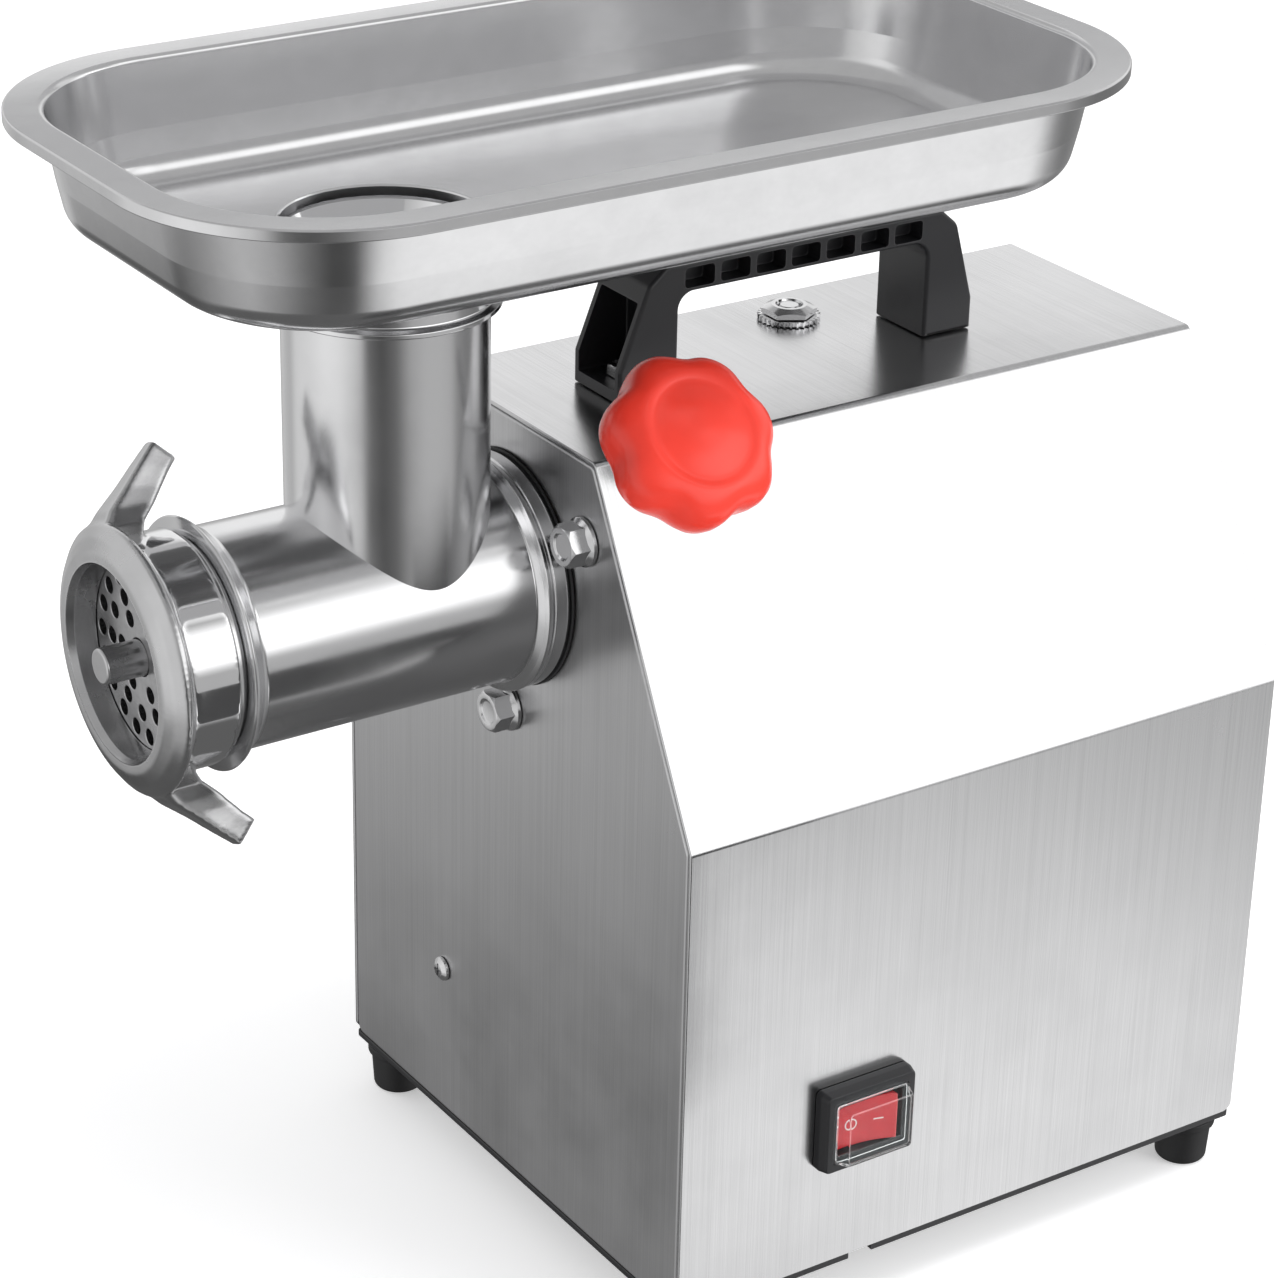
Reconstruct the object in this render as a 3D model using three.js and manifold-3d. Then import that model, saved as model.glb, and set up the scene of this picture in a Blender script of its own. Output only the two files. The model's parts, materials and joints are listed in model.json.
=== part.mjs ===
// Electric meat grinder: a sheet-metal body with a motor and a two-stage gearbox,
// and a size 12 grinding head clamped into its front.
// Millimetres, +Z up. The head points along -Y and the switch is on the +X side.
// Everything is laid out with the front panel at Y = 0 and the feet on Z = 0;
// the finished model is then moved so that its origin is the bottom centre of its box.

import * as THREE from 'three';
import { mergeVertices } from 'three/addons/utils/BufferGeometryUtils.js';
import Module from 'manifold-3d';

const wasm = await Module();
wasm.setup();

// ---------------------------------------------------------------- driving dimensions

const GAP = 0.3;                    // clearance between pieces that touch

// Body
const BODY_HALF_WIDTH = 110;
const BODY_LENGTH = 248;
const FOOT_HEIGHT = 19;
const BASE_SHEET = 2.5;
const FOLD_Z = 198.7;               // where the side walls lean inwards
const ROOF_Z = 312.4;
const ROOF_HALF_WIDTH = 50.25;
const SHEET = 1.5;
const FOLD_RADIUS = 3;
const BASE_TOP = FOOT_HEIGHT + BASE_SHEET;
const WALL_BOTTOM = BASE_TOP + GAP;
const FOOT_INSET = 12;
const FOOT_R = 12;

// Grinding head
const AXIS_Z = 257.6;               // barrel, auger and output shaft
const BARREL_R = 36.7;
const BORE_R = 30.3;
const TUBE_R = 33.3;
const TUBE_Y = -46.8;
const TUBE_TOP = 360;
const HEAD_BACK = -1.5;
const COLLAR_R = 41.8;
const COLLAR_Y = -117;
const NECK_R = 36;
const NECK_FRONT = -126.3;
const SHANK_R = 25;
const SHANK_END = 42;
const PLATE_R = 35;                 // the standard 70 mm plate of a size 12 head
const PLATE_THICKNESS = 10;
const PLATE_BACK = NECK_FRONT - GAP;
const PLATE_FRONT = PLATE_BACK - PLATE_THICKNESS;
const PLATE_HOLE_R = 2.75;
const RING_FRONT = -146.6;
const RING_BACK = -120.5;
const RING_SLEEVE_R = 38.6;
const RING_FLANGE_R = 44.2;
const RING_OPENING_R = 32.2;
const WING_TILT = 23.6;             // degrees that the wings lean from vertical
const PIN_R = 6;
const PIN_END = PLATE_FRONT - 14;
const FLANGE_BOLT_CIRCLE_R = 52;

// Tray
const TRAY_HALF_WIDTH = 98.4;
const TRAY_FRONT = -153.2;
const TRAY_BACK = 205.6;
const TRAY_CORNER_R = 66.7;
const TRAY_RIM_Z = 422.4;
const TRAY_FLOOR_Z = 384;
const TRAY_SHEET = 1.2;
const TRAY_HOLE_R = 33;

// Carrying handle
const HANDLE_HALF_WIDTH = 14;
const HANDLE_TOP = 358;
const HANDLE_FRONT = 33;
const HANDLE_BACK = 179;
const HANDLE_SLOTS = 7;

// Switch
const SWITCH_Y = 73.5;
const SWITCH_Z = 78;
const ROCKER_TILT = 9;              // degrees to each side

// Clamp knob: a screw pointing at the barrel axis
const CLAMP_Y = 20;
const CLAMP_ANGLE = 42;             // degrees above horizontal
const CLAMP_SCREW_R = 4.9;
const KNOB_START = 87;              // distances from the barrel axis
const KNOB_END = 112;
const KNOB_R = 28.3;
const KNOB_LOBES = 7;
const KNOB_LOBE_DEPTH = 1.5;

// Drive train: two gear stages in one vertical line below the barrel axis
const OUTPUT_TEETH = 28;
const LAY_PINION_TEETH = 12;
const OUTPUT_MODULE = 3;
const LAY_TEETH = 36;
const MOTOR_PINION_TEETH = 12;
const MOTOR_MODULE = 2.5;
const LAY_Z = AXIS_Z - OUTPUT_MODULE * (OUTPUT_TEETH + LAY_PINION_TEETH) / 2;
const MOTOR_Z = LAY_Z - MOTOR_MODULE * (LAY_TEETH + MOTOR_PINION_TEETH) / 2;
const STAGE_TWO = [68, 84];         // Y span of the output gear and its pinion
const STAGE_ONE = [86, 95];         // Y span of the layshaft gear and its pinion
const CASE_FRONT = 50;
const CASE_CHAMBER = 64;
const CASE_BACK = 99;
const CASE_COVER_BACK = 106;
const CASE_WALL = 5;
const STATOR_R = 52;
const MOTOR_SHAFT_R = 7;

// ---------------------------------------------------------------- materials

const FINISHES = {
  brushed_steel: { color: 0xb9babb, roughness: 0.42, metalness: 0.9 },
  polished_steel: { color: 0xd2d3d4, roughness: 0.16, metalness: 1.0 },
  cast_steel: { color: 0x9d9d9e, roughness: 0.38, metalness: 0.9 },
  machined_steel: { color: 0xa9abad, roughness: 0.3, metalness: 0.95 },
  zinc: { color: 0xc4c7c9, roughness: 0.28, metalness: 0.95 },
  black_plastic: { color: 0x1c1c1e, roughness: 0.5, metalness: 0.0 },
  red_plastic: { color: 0xe8301f, roughness: 0.28, metalness: 0.0 },
  red_lens: { color: 0xd81f26, roughness: 0.2, metalness: 0.0 },
  clear_plastic: { color: 0xe6ecee, roughness: 0.08, metalness: 0.0, transparent: true, opacity: 0.3 },
  rubber: { color: 0x151516, roughness: 0.8, metalness: 0.0 },
  painted_base: { color: 0x1a1b1d, roughness: 0.55, metalness: 0.3 },
  cast_aluminium: { color: 0xa4a6a8, roughness: 0.55, metalness: 0.8 },
  lamination: { color: 0x6d7074, roughness: 0.5, metalness: 0.8 },
  copper: { color: 0xb5673a, roughness: 0.4, metalness: 0.8 },
};

// ---------------------------------------------------------------- solid helpers

const radians = THREE.MathUtils.degToRad;

function signedVolume(position, index) {
  const [a, b, c] = [new THREE.Vector3(), new THREE.Vector3(), new THREE.Vector3()];
  let volume = 0;
  for (let i = 0; i < index.length; i += 3) {
    a.fromArray(position, 3 * index[i]);
    b.fromArray(position, 3 * index[i + 1]);
    c.fromArray(position, 3 * index[i + 2]);
    volume += a.dot(b.cross(c)) / 6;
  }
  return volume;
}

// Turns a closed three.js geometry into a solid, whichever way its faces were wound.
function solid(geometry) {
  const bare = geometry.clone();
  bare.deleteAttribute('normal');
  bare.deleteAttribute('uv');
  const merged = mergeVertices(bare, 1e-4);
  const position = merged.getAttribute('position').array;
  const triangles = [];
  const index = merged.getIndex().array;
  for (let i = 0; i < index.length; i += 3) {
    const [a, b, c] = [index[i], index[i + 1], index[i + 2]];
    if (a !== b && b !== c && c !== a) triangles.push(a, b, c);
  }
  if (signedVolume(position, triangles) < 0) triangles.reverse();
  return new wasm.Manifold(new wasm.Mesh({
    numProp: 3,
    vertProperties: new Float32Array(position),
    triVerts: new Uint32Array(triangles),
  }));
}

function geometryOf(body) {
  const mesh = body.getMesh();
  const geometry = new THREE.BufferGeometry();
  geometry.setAttribute('position', new THREE.BufferAttribute(new Float32Array(mesh.vertProperties), 3));
  geometry.setIndex(new THREE.BufferAttribute(new Uint32Array(mesh.triVerts), 1));
  geometry.computeVertexNormals();
  return geometry;
}

function join(first, ...others) {
  return others.reduce((sum, other) => sum.add(other), first);
}

function cut(body, ...tools) {
  return tools.reduce((rest, tool) => rest.subtract(tool), body);
}

// Cylinders along Y and Z, from one coordinate to another.
function cylinderY(r, y0, y1, x, z, sides = 24) {
  const shape = new THREE.CylinderGeometry(r, r, y1 - y0, sides);
  shape.translate(x, (y0 + y1) / 2, z);
  return solid(shape);
}

function cylinderZ(r, z0, z1, x, y, sides = 24) {
  const shape = new THREE.CylinderGeometry(r, r, z1 - z0, sides);
  shape.rotateX(Math.PI / 2);
  shape.translate(x, y, (z0 + z1) / 2);
  return solid(shape);
}

function block(x, y, z) {
  const shape = new THREE.BoxGeometry(x[1] - x[0], y[1] - y[0], z[1] - z[0]);
  shape.translate((x[0] + x[1]) / 2, (y[0] + y[1]) / 2, (z[0] + z[1]) / 2);
  return solid(shape);
}

// Outlines in the XZ plane pushed along Y, and in the YZ plane pushed along X.
function extrudeY(shape, y0, y1, curveSegments = 6) {
  const body = new THREE.ExtrudeGeometry(shape, { depth: y1 - y0, bevelEnabled: false, curveSegments });
  body.rotateX(Math.PI / 2);
  body.translate(0, y1, 0);
  return solid(body);
}

function extrudeX(shape, x0, x1, curveSegments = 6) {
  const body = new THREE.ExtrudeGeometry(shape, { depth: x1 - x0, bevelEnabled: false, curveSegments });
  const [x, y, z] = [new THREE.Vector3(1, 0, 0), new THREE.Vector3(0, 1, 0), new THREE.Vector3(0, 0, 1)];
  body.applyMatrix4(new THREE.Matrix4().makeBasis(y, z, x));
  body.translate(x0, 0, 0);
  return solid(body);
}

// A turned piece: the profile is a list of [radius, distance along the axis].
// A profile that doesn't start and end on the axis is closed into a ring.
function turned(profile, sides) {
  const points = profile.map(([r, h]) => new THREE.Vector2(r, h));
  const onAxis = profile[0][0] === 0;
  if (!onAxis) points.push(points[0].clone());
  return new THREE.LatheGeometry(points, sides);
}

function turnedY(profile, x = 0, z = AXIS_Z, sides = 32) {
  return solid(turned(profile, sides).translate(x, 0, z));
}

function turnedZ(profile, x, y, sides = 24) {
  return solid(turned(profile, sides).rotateX(Math.PI / 2).translate(x, y, 0));
}

function indexedGeometry(position, index) {
  const geometry = new THREE.BufferGeometry();
  geometry.setAttribute('position', new THREE.Float32BufferAttribute(position, 3));
  geometry.setIndex(index);
  return geometry;
}

// The faces between one ring of points and the next.
function band(from, to, count) {
  const index = [];
  for (let j = 0; j < count; j++) {
    const k = (j + 1) % count;
    index.push(from + j, from + k, to + k, from + j, to + k, to + j);
  }
  return index;
}

// A skin stretched over rings of equal point counts, closed by a fan at each end.
function loftGeometry(rings) {
  const count = rings[0].length;
  const last = (rings.length - 1) * count;
  const index = rings.slice(1).flatMap((ring, i) => band(i * count, (i + 1) * count, count));
  for (let j = 1; j + 1 < count; j++) {
    index.push(0, j + 1, j);
    index.push(last, last + j, last + j + 1);
  }
  return indexedGeometry(rings.flat(2), index);
}

// A closed polygon with a radius on every corner that has one.
function roundedOutline(corners) {
  const shape = new THREE.Shape();
  corners.forEach(([x, y, radius = 0], i) => {
    const here = new THREE.Vector2(x, y);
    const before = new THREE.Vector2(...corners.at(i - 1));
    const after = new THREE.Vector2(...corners[(i + 1) % corners.length]);
    const toBefore = before.sub(here).normalize();
    const toAfter = after.sub(here).normalize();
    const halfAngle = Math.acos(THREE.MathUtils.clamp(toBefore.dot(toAfter), -1, 1)) / 2;
    const setback = radius / Math.tan(halfAngle);
    const start = toBefore.multiplyScalar(setback).add(here);
    const end = toAfter.multiplyScalar(setback).add(here);
    if (i === 0) shape.moveTo(start.x, start.y);
    else shape.lineTo(start.x, start.y);
    if (radius > 0) shape.quadraticCurveTo(x, y, end.x, end.y);
  });
  shape.closePath();
  return shape;
}

function circlePoints(x, y, r, count) {
  const points = [];
  for (let i = 0; i < count; i++) {
    const angle = 2 * Math.PI * i / count;
    points.push([x + r * Math.cos(angle), y + r * Math.sin(angle)]);
  }
  return points;
}

// The belt around several circles of [x, y, r].
function beltOutline(circles) {
  const points = circles.flatMap(([x, y, r]) => circlePoints(x, y, r, 20));
  points.sort((a, b) => a[0] - b[0] || a[1] - b[1]);
  const turn = (o, a, b) => (a[0] - o[0]) * (b[1] - o[1]) - (a[1] - o[1]) * (b[0] - o[0]);
  const halfHull = (list) => {
    const hull = [];
    for (const point of list) {
      while (hull.length > 1 && turn(hull.at(-2), hull.at(-1), point) <= 0) hull.pop();
      hull.push(point);
    }
    return hull.slice(0, -1);
  };
  const outline = [...halfHull(points), ...halfHull(points.reverse())];
  return new THREE.Shape(outline.map(([x, y]) => new THREE.Vector2(x, y)));
}

const model = new THREE.Group();

function add(name, finish, body) {
  const mesh = new THREE.Mesh(geometryOf(body), new THREE.MeshStandardMaterial(FINISHES[finish]));
  mesh.name = name;
  model.add(mesh);
}

// ---------------------------------------------------------------- body shell

const SLOPE = new THREE.Vector2(ROOF_HALF_WIDTH - BODY_HALF_WIDTH, ROOF_Z - FOLD_Z).normalize();

// The body's cross-section, moved inwards from the outer skin.
function bodySection(inset, bottom, radius) {
  const side = BODY_HALF_WIDTH - inset;
  const roof = ROOF_Z - inset;
  const slopeX = (z) => BODY_HALF_WIDTH + (z - FOLD_Z) * SLOPE.x / SLOPE.y - inset / SLOPE.y;
  const foldZ = FOLD_Z + (side - BODY_HALF_WIDTH + inset / SLOPE.y) * SLOPE.y / SLOPE.x;
  const corners = [[side, bottom], [side, foldZ, radius], [slopeX(roof), roof, radius]];
  const mirrored = corners.map(([x, z, r]) => [-x, z, r]).reverse();
  return roundedOutline([...corners, ...mirrored]);
}

const clampRadial = new THREE.Vector3(Math.cos(radians(CLAMP_ANGLE)), 0, Math.sin(radians(CLAMP_ANGLE)));

// Places a piece built along +Y so that it lies on the clamp screw's axis.
function onClampAxis(geometry) {
  geometry.rotateZ(-Math.PI / 2);
  geometry.rotateY(-radians(CLAMP_ANGLE));
  geometry.translate(0, CLAMP_Y, AXIS_Z);
  return solid(geometry);
}

function clampCylinder(r, from, to, sides = 20) {
  return onClampAxis(new THREE.CylinderGeometry(r, r, to - from, sides).translate(0, (from + to) / 2, 0));
}

const HANDLE_BOLTS_Y = [44, 169];
const HANDLE_BOLT_R = 2.9;
const TIE_STUD = { x: -26, y: 130, r: 3.9 };
const SWITCH_CUTOUT = { y: [SWITCH_Y - 15.3, SWITCH_Y + 15.3], z: [SWITCH_Z - 11.8, SWITCH_Z + 11.8] };

function housingCover() {
  const skin = extrudeY(bodySection(0, WALL_BOTTOM, FOLD_RADIUS), 0, BODY_LENGTH, 4);
  const inside = extrudeY(bodySection(SHEET, 0, FOLD_RADIUS - SHEET), -1, BODY_LENGTH + 1, 4);
  const boltHoles = HANDLE_BOLTS_Y.map((y) => cylinderZ(HANDLE_BOLT_R + GAP, 300, 320, 0, y, 12));
  return cut(
    skin,
    inside,
    ...boltHoles,
    cylinderZ(TIE_STUD.r + GAP, 300, 320, TIE_STUD.x, TIE_STUD.y, 12),
    clampCylinder(CLAMP_SCREW_R + 1.6, 60, 80),
    block([100, 120], SWITCH_CUTOUT.y, SWITCH_CUTOUT.z),
  );
}

// A panel that closes one end of the cover, with its edges bent inwards.
function endPanel(face, inwards) {
  const clear = SHEET + GAP;
  const bend = 12;
  const span = (...depths) => {
    const ends = depths.map((depth) => face + depth * inwards);
    return [Math.min(...ends), Math.max(...ends)];
  };
  const pan = extrudeY(bodySection(clear, WALL_BOTTOM, 1.5), ...span(0, bend), 3);
  const hollow = extrudeY(bodySection(clear + SHEET, WALL_BOTTOM + SHEET, 0), ...span(SHEET, bend + 1), 3);
  return cut(pan, hollow);
}

const FLANGE_BOLTS = [30, 150, 270].map((degrees) => ({
  x: FLANGE_BOLT_CIRCLE_R * Math.cos(radians(degrees)),
  z: AXIS_Z + FLANGE_BOLT_CIRCLE_R * Math.sin(radians(degrees)),
}));
const FLANGE_BOLT_R = 3.9;
const EARTH_SCREW = { x: -44, z: 81, r: 1.9 };

function frontPanel() {
  return cut(
    endPanel(0, 1),
    cylinderY(SHANK_R + 0.6, -1, 5, 0, AXIS_Z, 28),
    ...FLANGE_BOLTS.map(({ x, z }) => cylinderY(FLANGE_BOLT_R + GAP, -1, 5, x, z, 12)),
    cylinderY(EARTH_SCREW.r + GAP, -1, 5, EARTH_SCREW.x, EARTH_SCREW.z, 12),
  );
}

const GLAND = { x: 66, z: 64, r: 9.5, hole: 4.2 };
const VENT = { rows: 8, pitch: 11, height: 5, half: 29, centre: 42, bottom: 112 };

function rearPanel() {
  const vents = [];
  for (let row = 0; row < VENT.rows; row++) {
    const z = VENT.bottom + row * VENT.pitch;
    for (const x of [-VENT.centre, VENT.centre]) {
      vents.push(block([x - VENT.half, x + VENT.half], [240, 260], [z, z + VENT.height]));
    }
  }
  return cut(endPanel(BODY_LENGTH, -1), ...vents, cylinderY(GLAND.r + GAP, 240, 260, GLAND.x, GLAND.z, 16));
}

const FEET = [
  ['foot_front_right', 1, FOOT_INSET],
  ['foot_front_left', -1, FOOT_INSET],
  ['foot_rear_right', 1, BODY_LENGTH - FOOT_INSET],
  ['foot_rear_left', -1, BODY_LENGTH - FOOT_INSET],
];
const FOOT_X = BODY_HALF_WIDTH - FOOT_INSET;

function basePlate() {
  const edge = BODY_HALF_WIDTH - 0.3;
  const plate = block([-edge, edge], [0.3, BODY_LENGTH - 0.3], [FOOT_HEIGHT, BASE_TOP]);
  const slots = [];
  for (let i = 0; i < 6; i++) {
    const y = 110 + i * 16;
    slots.push(block([-36, 36], [y, y + 5], [0, 40]));
  }
  return cut(plate, cylinderZ(5, 0, 40, edge, 77, 16), ...slots);
}

function foot(side, y) {
  const top = FOOT_HEIGHT - GAP;
  const recess = { r: 4, depth: 5 };
  return turnedZ([
    [0, recess.depth], [recess.r, recess.depth], [recess.r, 0], [9.6, 0],
    [FOOT_R - 1.2, 14.6], [FOOT_R, 15.2], [FOOT_R, top], [0, top],
  ], side * FOOT_X, y, 14);
}

add('housing_cover', 'brushed_steel', housingCover());
add('front_panel', 'brushed_steel', frontPanel());
add('rear_panel', 'brushed_steel', rearPanel());
add('base_plate', 'painted_base', basePlate());
FEET.forEach(([name, side, y]) => add(name, 'rubber', foot(side, y)));

// ---------------------------------------------------------------- fasteners

// A bolt that points along +Y with its head in front, or along -Z with its head on top.
function hexBolt(shankR, shankLength, headAcross, headHeight, flangeR = 0, flangeHeight = 0) {
  const hexR = headAcross / Math.sqrt(3);
  const bite = 0.5;                  // how far the pieces of one bolt reach into each other
  const head = new THREE.CylinderGeometry(hexR, hexR, headHeight, 6);
  head.translate(0, -flangeHeight - headHeight / 2, 0);
  const shank = new THREE.CylinderGeometry(shankR, shankR, shankLength + 2 * bite, 14);
  shank.translate(0, shankLength / 2 - bite, 0);
  const pieces = [head, shank];
  if (flangeR > 0) {
    const flange = new THREE.CylinderGeometry(flangeR, hexR, flangeHeight + bite, 20);
    pieces.push(flange.translate(0, -(flangeHeight + bite) / 2, 0));
  }
  return pieces;
}

function boltY(x, y, z, ...sizes) {
  return join(...hexBolt(...sizes).map((piece) => solid(piece.translate(x, y, z))));
}

function boltDown(x, y, z, ...sizes) {
  return join(...hexBolt(...sizes).map((piece) => solid(piece.rotateX(-Math.PI / 2).translate(x, y, z))));
}

FLANGE_BOLTS.forEach(({ x, z }, i) => {
  add(`flange_bolt_${i + 1}`, 'zinc', boltY(x, -GAP, z, FLANGE_BOLT_R, 15, 13, 6.5, 8.5, 2.2));
});

function earthScrew() {
  const { x, z, r } = EARTH_SCREW;
  const profile = [[0, -2.6], [2.6, -2.4], [4.4, -1.2], [4.6, -GAP], [r, -GAP], [r, 9], [0, 9]];
  const slot = block([x - 3, x + 3], [-4, -1.6], [z - 0.5, z + 0.5]);
  return cut(turnedY(profile, x, z, 16), slot);
}

add('earth_screw', 'zinc', earthScrew());

// ---------------------------------------------------------------- carrying handle

const HANDLE_FLOOR = ROOF_Z + GAP;
const GRIP_UNDERSIDE = 347.5;
const LEG_INNER_FRONT = 56;
const LEG_INNER_BACK = 158.5;

function carryHandle() {
  const kink = 324;
  const shoulder = 352;
  const outline = roundedOutline([
    [HANDLE_FRONT, HANDLE_FLOOR],
    [LEG_INNER_FRONT, HANDLE_FLOOR],
    [LEG_INNER_FRONT, GRIP_UNDERSIDE, 6],
    [LEG_INNER_BACK, GRIP_UNDERSIDE, 6],
    [LEG_INNER_BACK, HANDLE_FLOOR],
    [HANDLE_BACK, HANDLE_FLOOR],
    [HANDLE_BACK, kink],
    [HANDLE_BACK - 8, shoulder, 5],
    [HANDLE_BACK - 15, HANDLE_TOP, 4],
    [HANDLE_FRONT + 18, HANDLE_TOP, 4],
    [HANDLE_FRONT + 11, shoulder, 4],
    [HANDLE_FRONT, kink],
  ]);
  const bar = extrudeX(outline, -HANDLE_HALF_WIDTH, HANDLE_HALF_WIDTH, 3);
  const pocketHalf = HANDLE_HALF_WIDTH - 3;
  const legTop = 346;
  const legFloor = 317;
  const pockets = [
    block([-pocketHalf, pocketHalf], [20, LEG_INNER_FRONT - 4], [legFloor, legTop]),
    block([-pocketHalf, pocketHalf], [LEG_INNER_BACK + 4, 190], [legFloor, legTop]),
  ];
  const slotPitch = 14.3;
  const firstSlot = 58;
  for (let i = 0; i < HANDLE_SLOTS; i++) {
    const y = firstSlot + i * slotPitch;
    for (const side of [-1, 1]) {
      const x = side * HANDLE_HALF_WIDTH;
      pockets.push(block([x - 7, x + 7], [y, y + 11.8], [GRIP_UNDERSIDE + 1.5, HANDLE_TOP - 2]));
    }
  }
  const holes = HANDLE_BOLTS_Y.map((y) => cylinderZ(HANDLE_BOLT_R + GAP, 300, 330, 0, y, 12));
  return cut(bar, ...pockets, ...holes);
}

add('carry_handle', 'black_plastic', carryHandle());
['front', 'rear'].forEach((place, i) => {
  add(`handle_bolt_${place}`, 'zinc', boltDown(0, HANDLE_BOLTS_Y[i], 317 + GAP, HANDLE_BOLT_R, 18, 10, 4));
});

// ---------------------------------------------------------------- tie stud through the roof

const NUT_ACROSS = 17;
const WASHER_HEIGHT = 1.8;
const NUT_HEIGHT = 3.2;

function topNut() {
  const { x, y, r } = TIE_STUD;
  const base = ROOF_Z + WASHER_HEIGHT + 2 * GAP;
  const hexR = NUT_ACROSS / Math.sqrt(3);
  const hex = cylinderZ(hexR, base, base + NUT_HEIGHT, x, y, 6);
  const chamfer = turnedZ([
    [0, base - 1], [hexR + 1, base - 1], [hexR + 1, base + 1], [6.2, base + NUT_HEIGHT],
    [0, base + NUT_HEIGHT + 1],
  ], x, y, 22);
  return cut(hex.intersect(chamfer), cylinderZ(r + GAP, base - 5, base + 9, x, y, 16));
}

function topWasher() {
  const { x, y, r } = TIE_STUD;
  const teeth = 18;
  const outline = new THREE.Shape();
  for (let i = 0; i < 2 * teeth; i++) {
    const radius = i % 2 ? 10 : 11.2;
    const angle = Math.PI * i / teeth;
    const point = [x + radius * Math.cos(angle), y + radius * Math.sin(angle)];
    if (i === 0) outline.moveTo(...point);
    else outline.lineTo(...point);
  }
  outline.holes.push(new THREE.Path().absarc(x, y, r + GAP, 0, 2 * Math.PI));
  const extrusion = { depth: WASHER_HEIGHT, bevelEnabled: false, curveSegments: 10 };
  return solid(new THREE.ExtrudeGeometry(outline, extrusion).translate(0, 0, ROOF_Z + GAP));
}

const LUG_TOP = 296;

add('top_nut', 'zinc', topNut());
add('top_washer', 'zinc', topWasher());
const STUD_TOP = ROOF_Z + WASHER_HEIGHT + NUT_HEIGHT + 0.3;
add('tie_stud', 'zinc', cylinderZ(TIE_STUD.r, LUG_TOP + GAP, STUD_TOP, TIE_STUD.x, TIE_STUD.y, 16));

// ---------------------------------------------------------------- switch

const WALL_X = BODY_HALF_WIDTH + GAP;
const BEZEL_FRONT = BODY_HALF_WIDTH + 6.5;
const ROCKER_PIVOT_X = BODY_HALF_WIDTH - 1;

function rectangleRing(halfY, halfZ, corner) {
  const ring = [];
  for (const [sy, sz, start] of [[1, 1, 0], [-1, 1, 90], [-1, -1, 180], [1, -1, 270]]) {
    for (let i = 0; i <= 2; i++) {
      const angle = radians(start + 45 * i);
      ring.push([
        SWITCH_Y + sy * (halfY - corner) + corner * Math.cos(angle),
        SWITCH_Z + sz * (halfZ - corner) + corner * Math.sin(angle),
      ]);
    }
  }
  return ring;
}

function switchBlock(levels) {
  const rings = levels.map(([x, halfY, halfZ, corner]) => (
    rectangleRing(halfY, halfZ, corner).map(([y, z]) => [x, y, z])
  ));
  return solid(loftGeometry(rings));
}

function switchBezel() {
  const frame = switchBlock([
    [WALL_X, 19.2, 15.6, 2], [WALL_X + 2.5, 19.2, 15.6, 2], [BEZEL_FRONT, 18.2, 15, 1.5],
  ]);
  const switchBox = (x, halfY, halfZ) => (
    block(x, [SWITCH_Y - halfY, SWITCH_Y + halfY], [SWITCH_Z - halfZ, SWITCH_Z + halfZ])
  );
  return cut(join(frame, switchBox([84, WALL_X + 1], 15, 11.5)), switchBox([95, 120], 13.2, 9.4));
}

// The rocker turns about a vertical axis and rests with its front half pressed in.
function switchRocker() {
  const outline = new THREE.Shape();
  outline.moveTo(-9, -4);
  outline.lineTo(9, -4);
  outline.lineTo(11.3, 6.5);
  outline.quadraticCurveTo(0, 3.5, -11.3, 6.5);
  outline.closePath();
  const body = new THREE.ExtrudeGeometry(outline, { depth: 17.4, bevelEnabled: false, curveSegments: 8 });
  body.rotateZ(-Math.PI / 2 - radians(ROCKER_TILT));
  body.translate(ROCKER_PIVOT_X, SWITCH_Y, SWITCH_Z - 8.7);
  return solid(body);
}

function switchCover() {
  const start = BEZEL_FRONT + GAP;
  const end = start + 5.5;
  const outer = switchBlock([[start, 15, 11.6, 1.2], [end, 13.4, 10.4, 1.2]]);
  const inner = switchBlock([[start - 1, 14.2, 10.8, 0.8], [end - 1, 12.5, 9.5, 0.8]]);
  return cut(outer, inner);
}

add('switch_bezel', 'black_plastic', switchBezel());
add('switch_rocker', 'red_lens', switchRocker());
add('switch_cover', 'clear_plastic', switchCover());

// ---------------------------------------------------------------- clamp knob

function clampScrew() {
  const r = CLAMP_SCREW_R;
  const tip = SHANK_R + 0.4;
  const end = KNOB_START + 13;
  return onClampAxis(turned([[0, tip], [r - 1.5, tip], [r, tip + 1.6], [r, end], [0, end]], 16));
}

function clampKnob() {
  const points = KNOB_LOBES * 6;
  const levels = [
    [0, 0.82, 0.3], [3.5, 0.96, 0.9], [12, 1, 1], [18, 0.94, 0.9], [22, 0.8, 0.5], [25, 0.3, 0],
  ];
  const rings = levels.map(([height, scale, lobes]) => {
    const ring = [];
    for (let i = 0; i < points; i++) {
      const angle = 2 * Math.PI * i / points;
      const r = scale * (KNOB_R + lobes * KNOB_LOBE_DEPTH * Math.cos(KNOB_LOBES * angle));
      ring.push([r * Math.cos(angle), KNOB_START + height, r * Math.sin(angle)]);
    }
    return ring;
  });
  const bore = clampCylinder(CLAMP_SCREW_R + GAP, KNOB_START - 5, KNOB_START + 13.5, 18);
  return cut(onClampAxis(loftGeometry(rings)), bore);
}

add('clamp_screw', 'machined_steel', clampScrew());
add('clamp_knob', 'red_plastic', clampKnob());

// ---------------------------------------------------------------- grinding head

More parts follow.
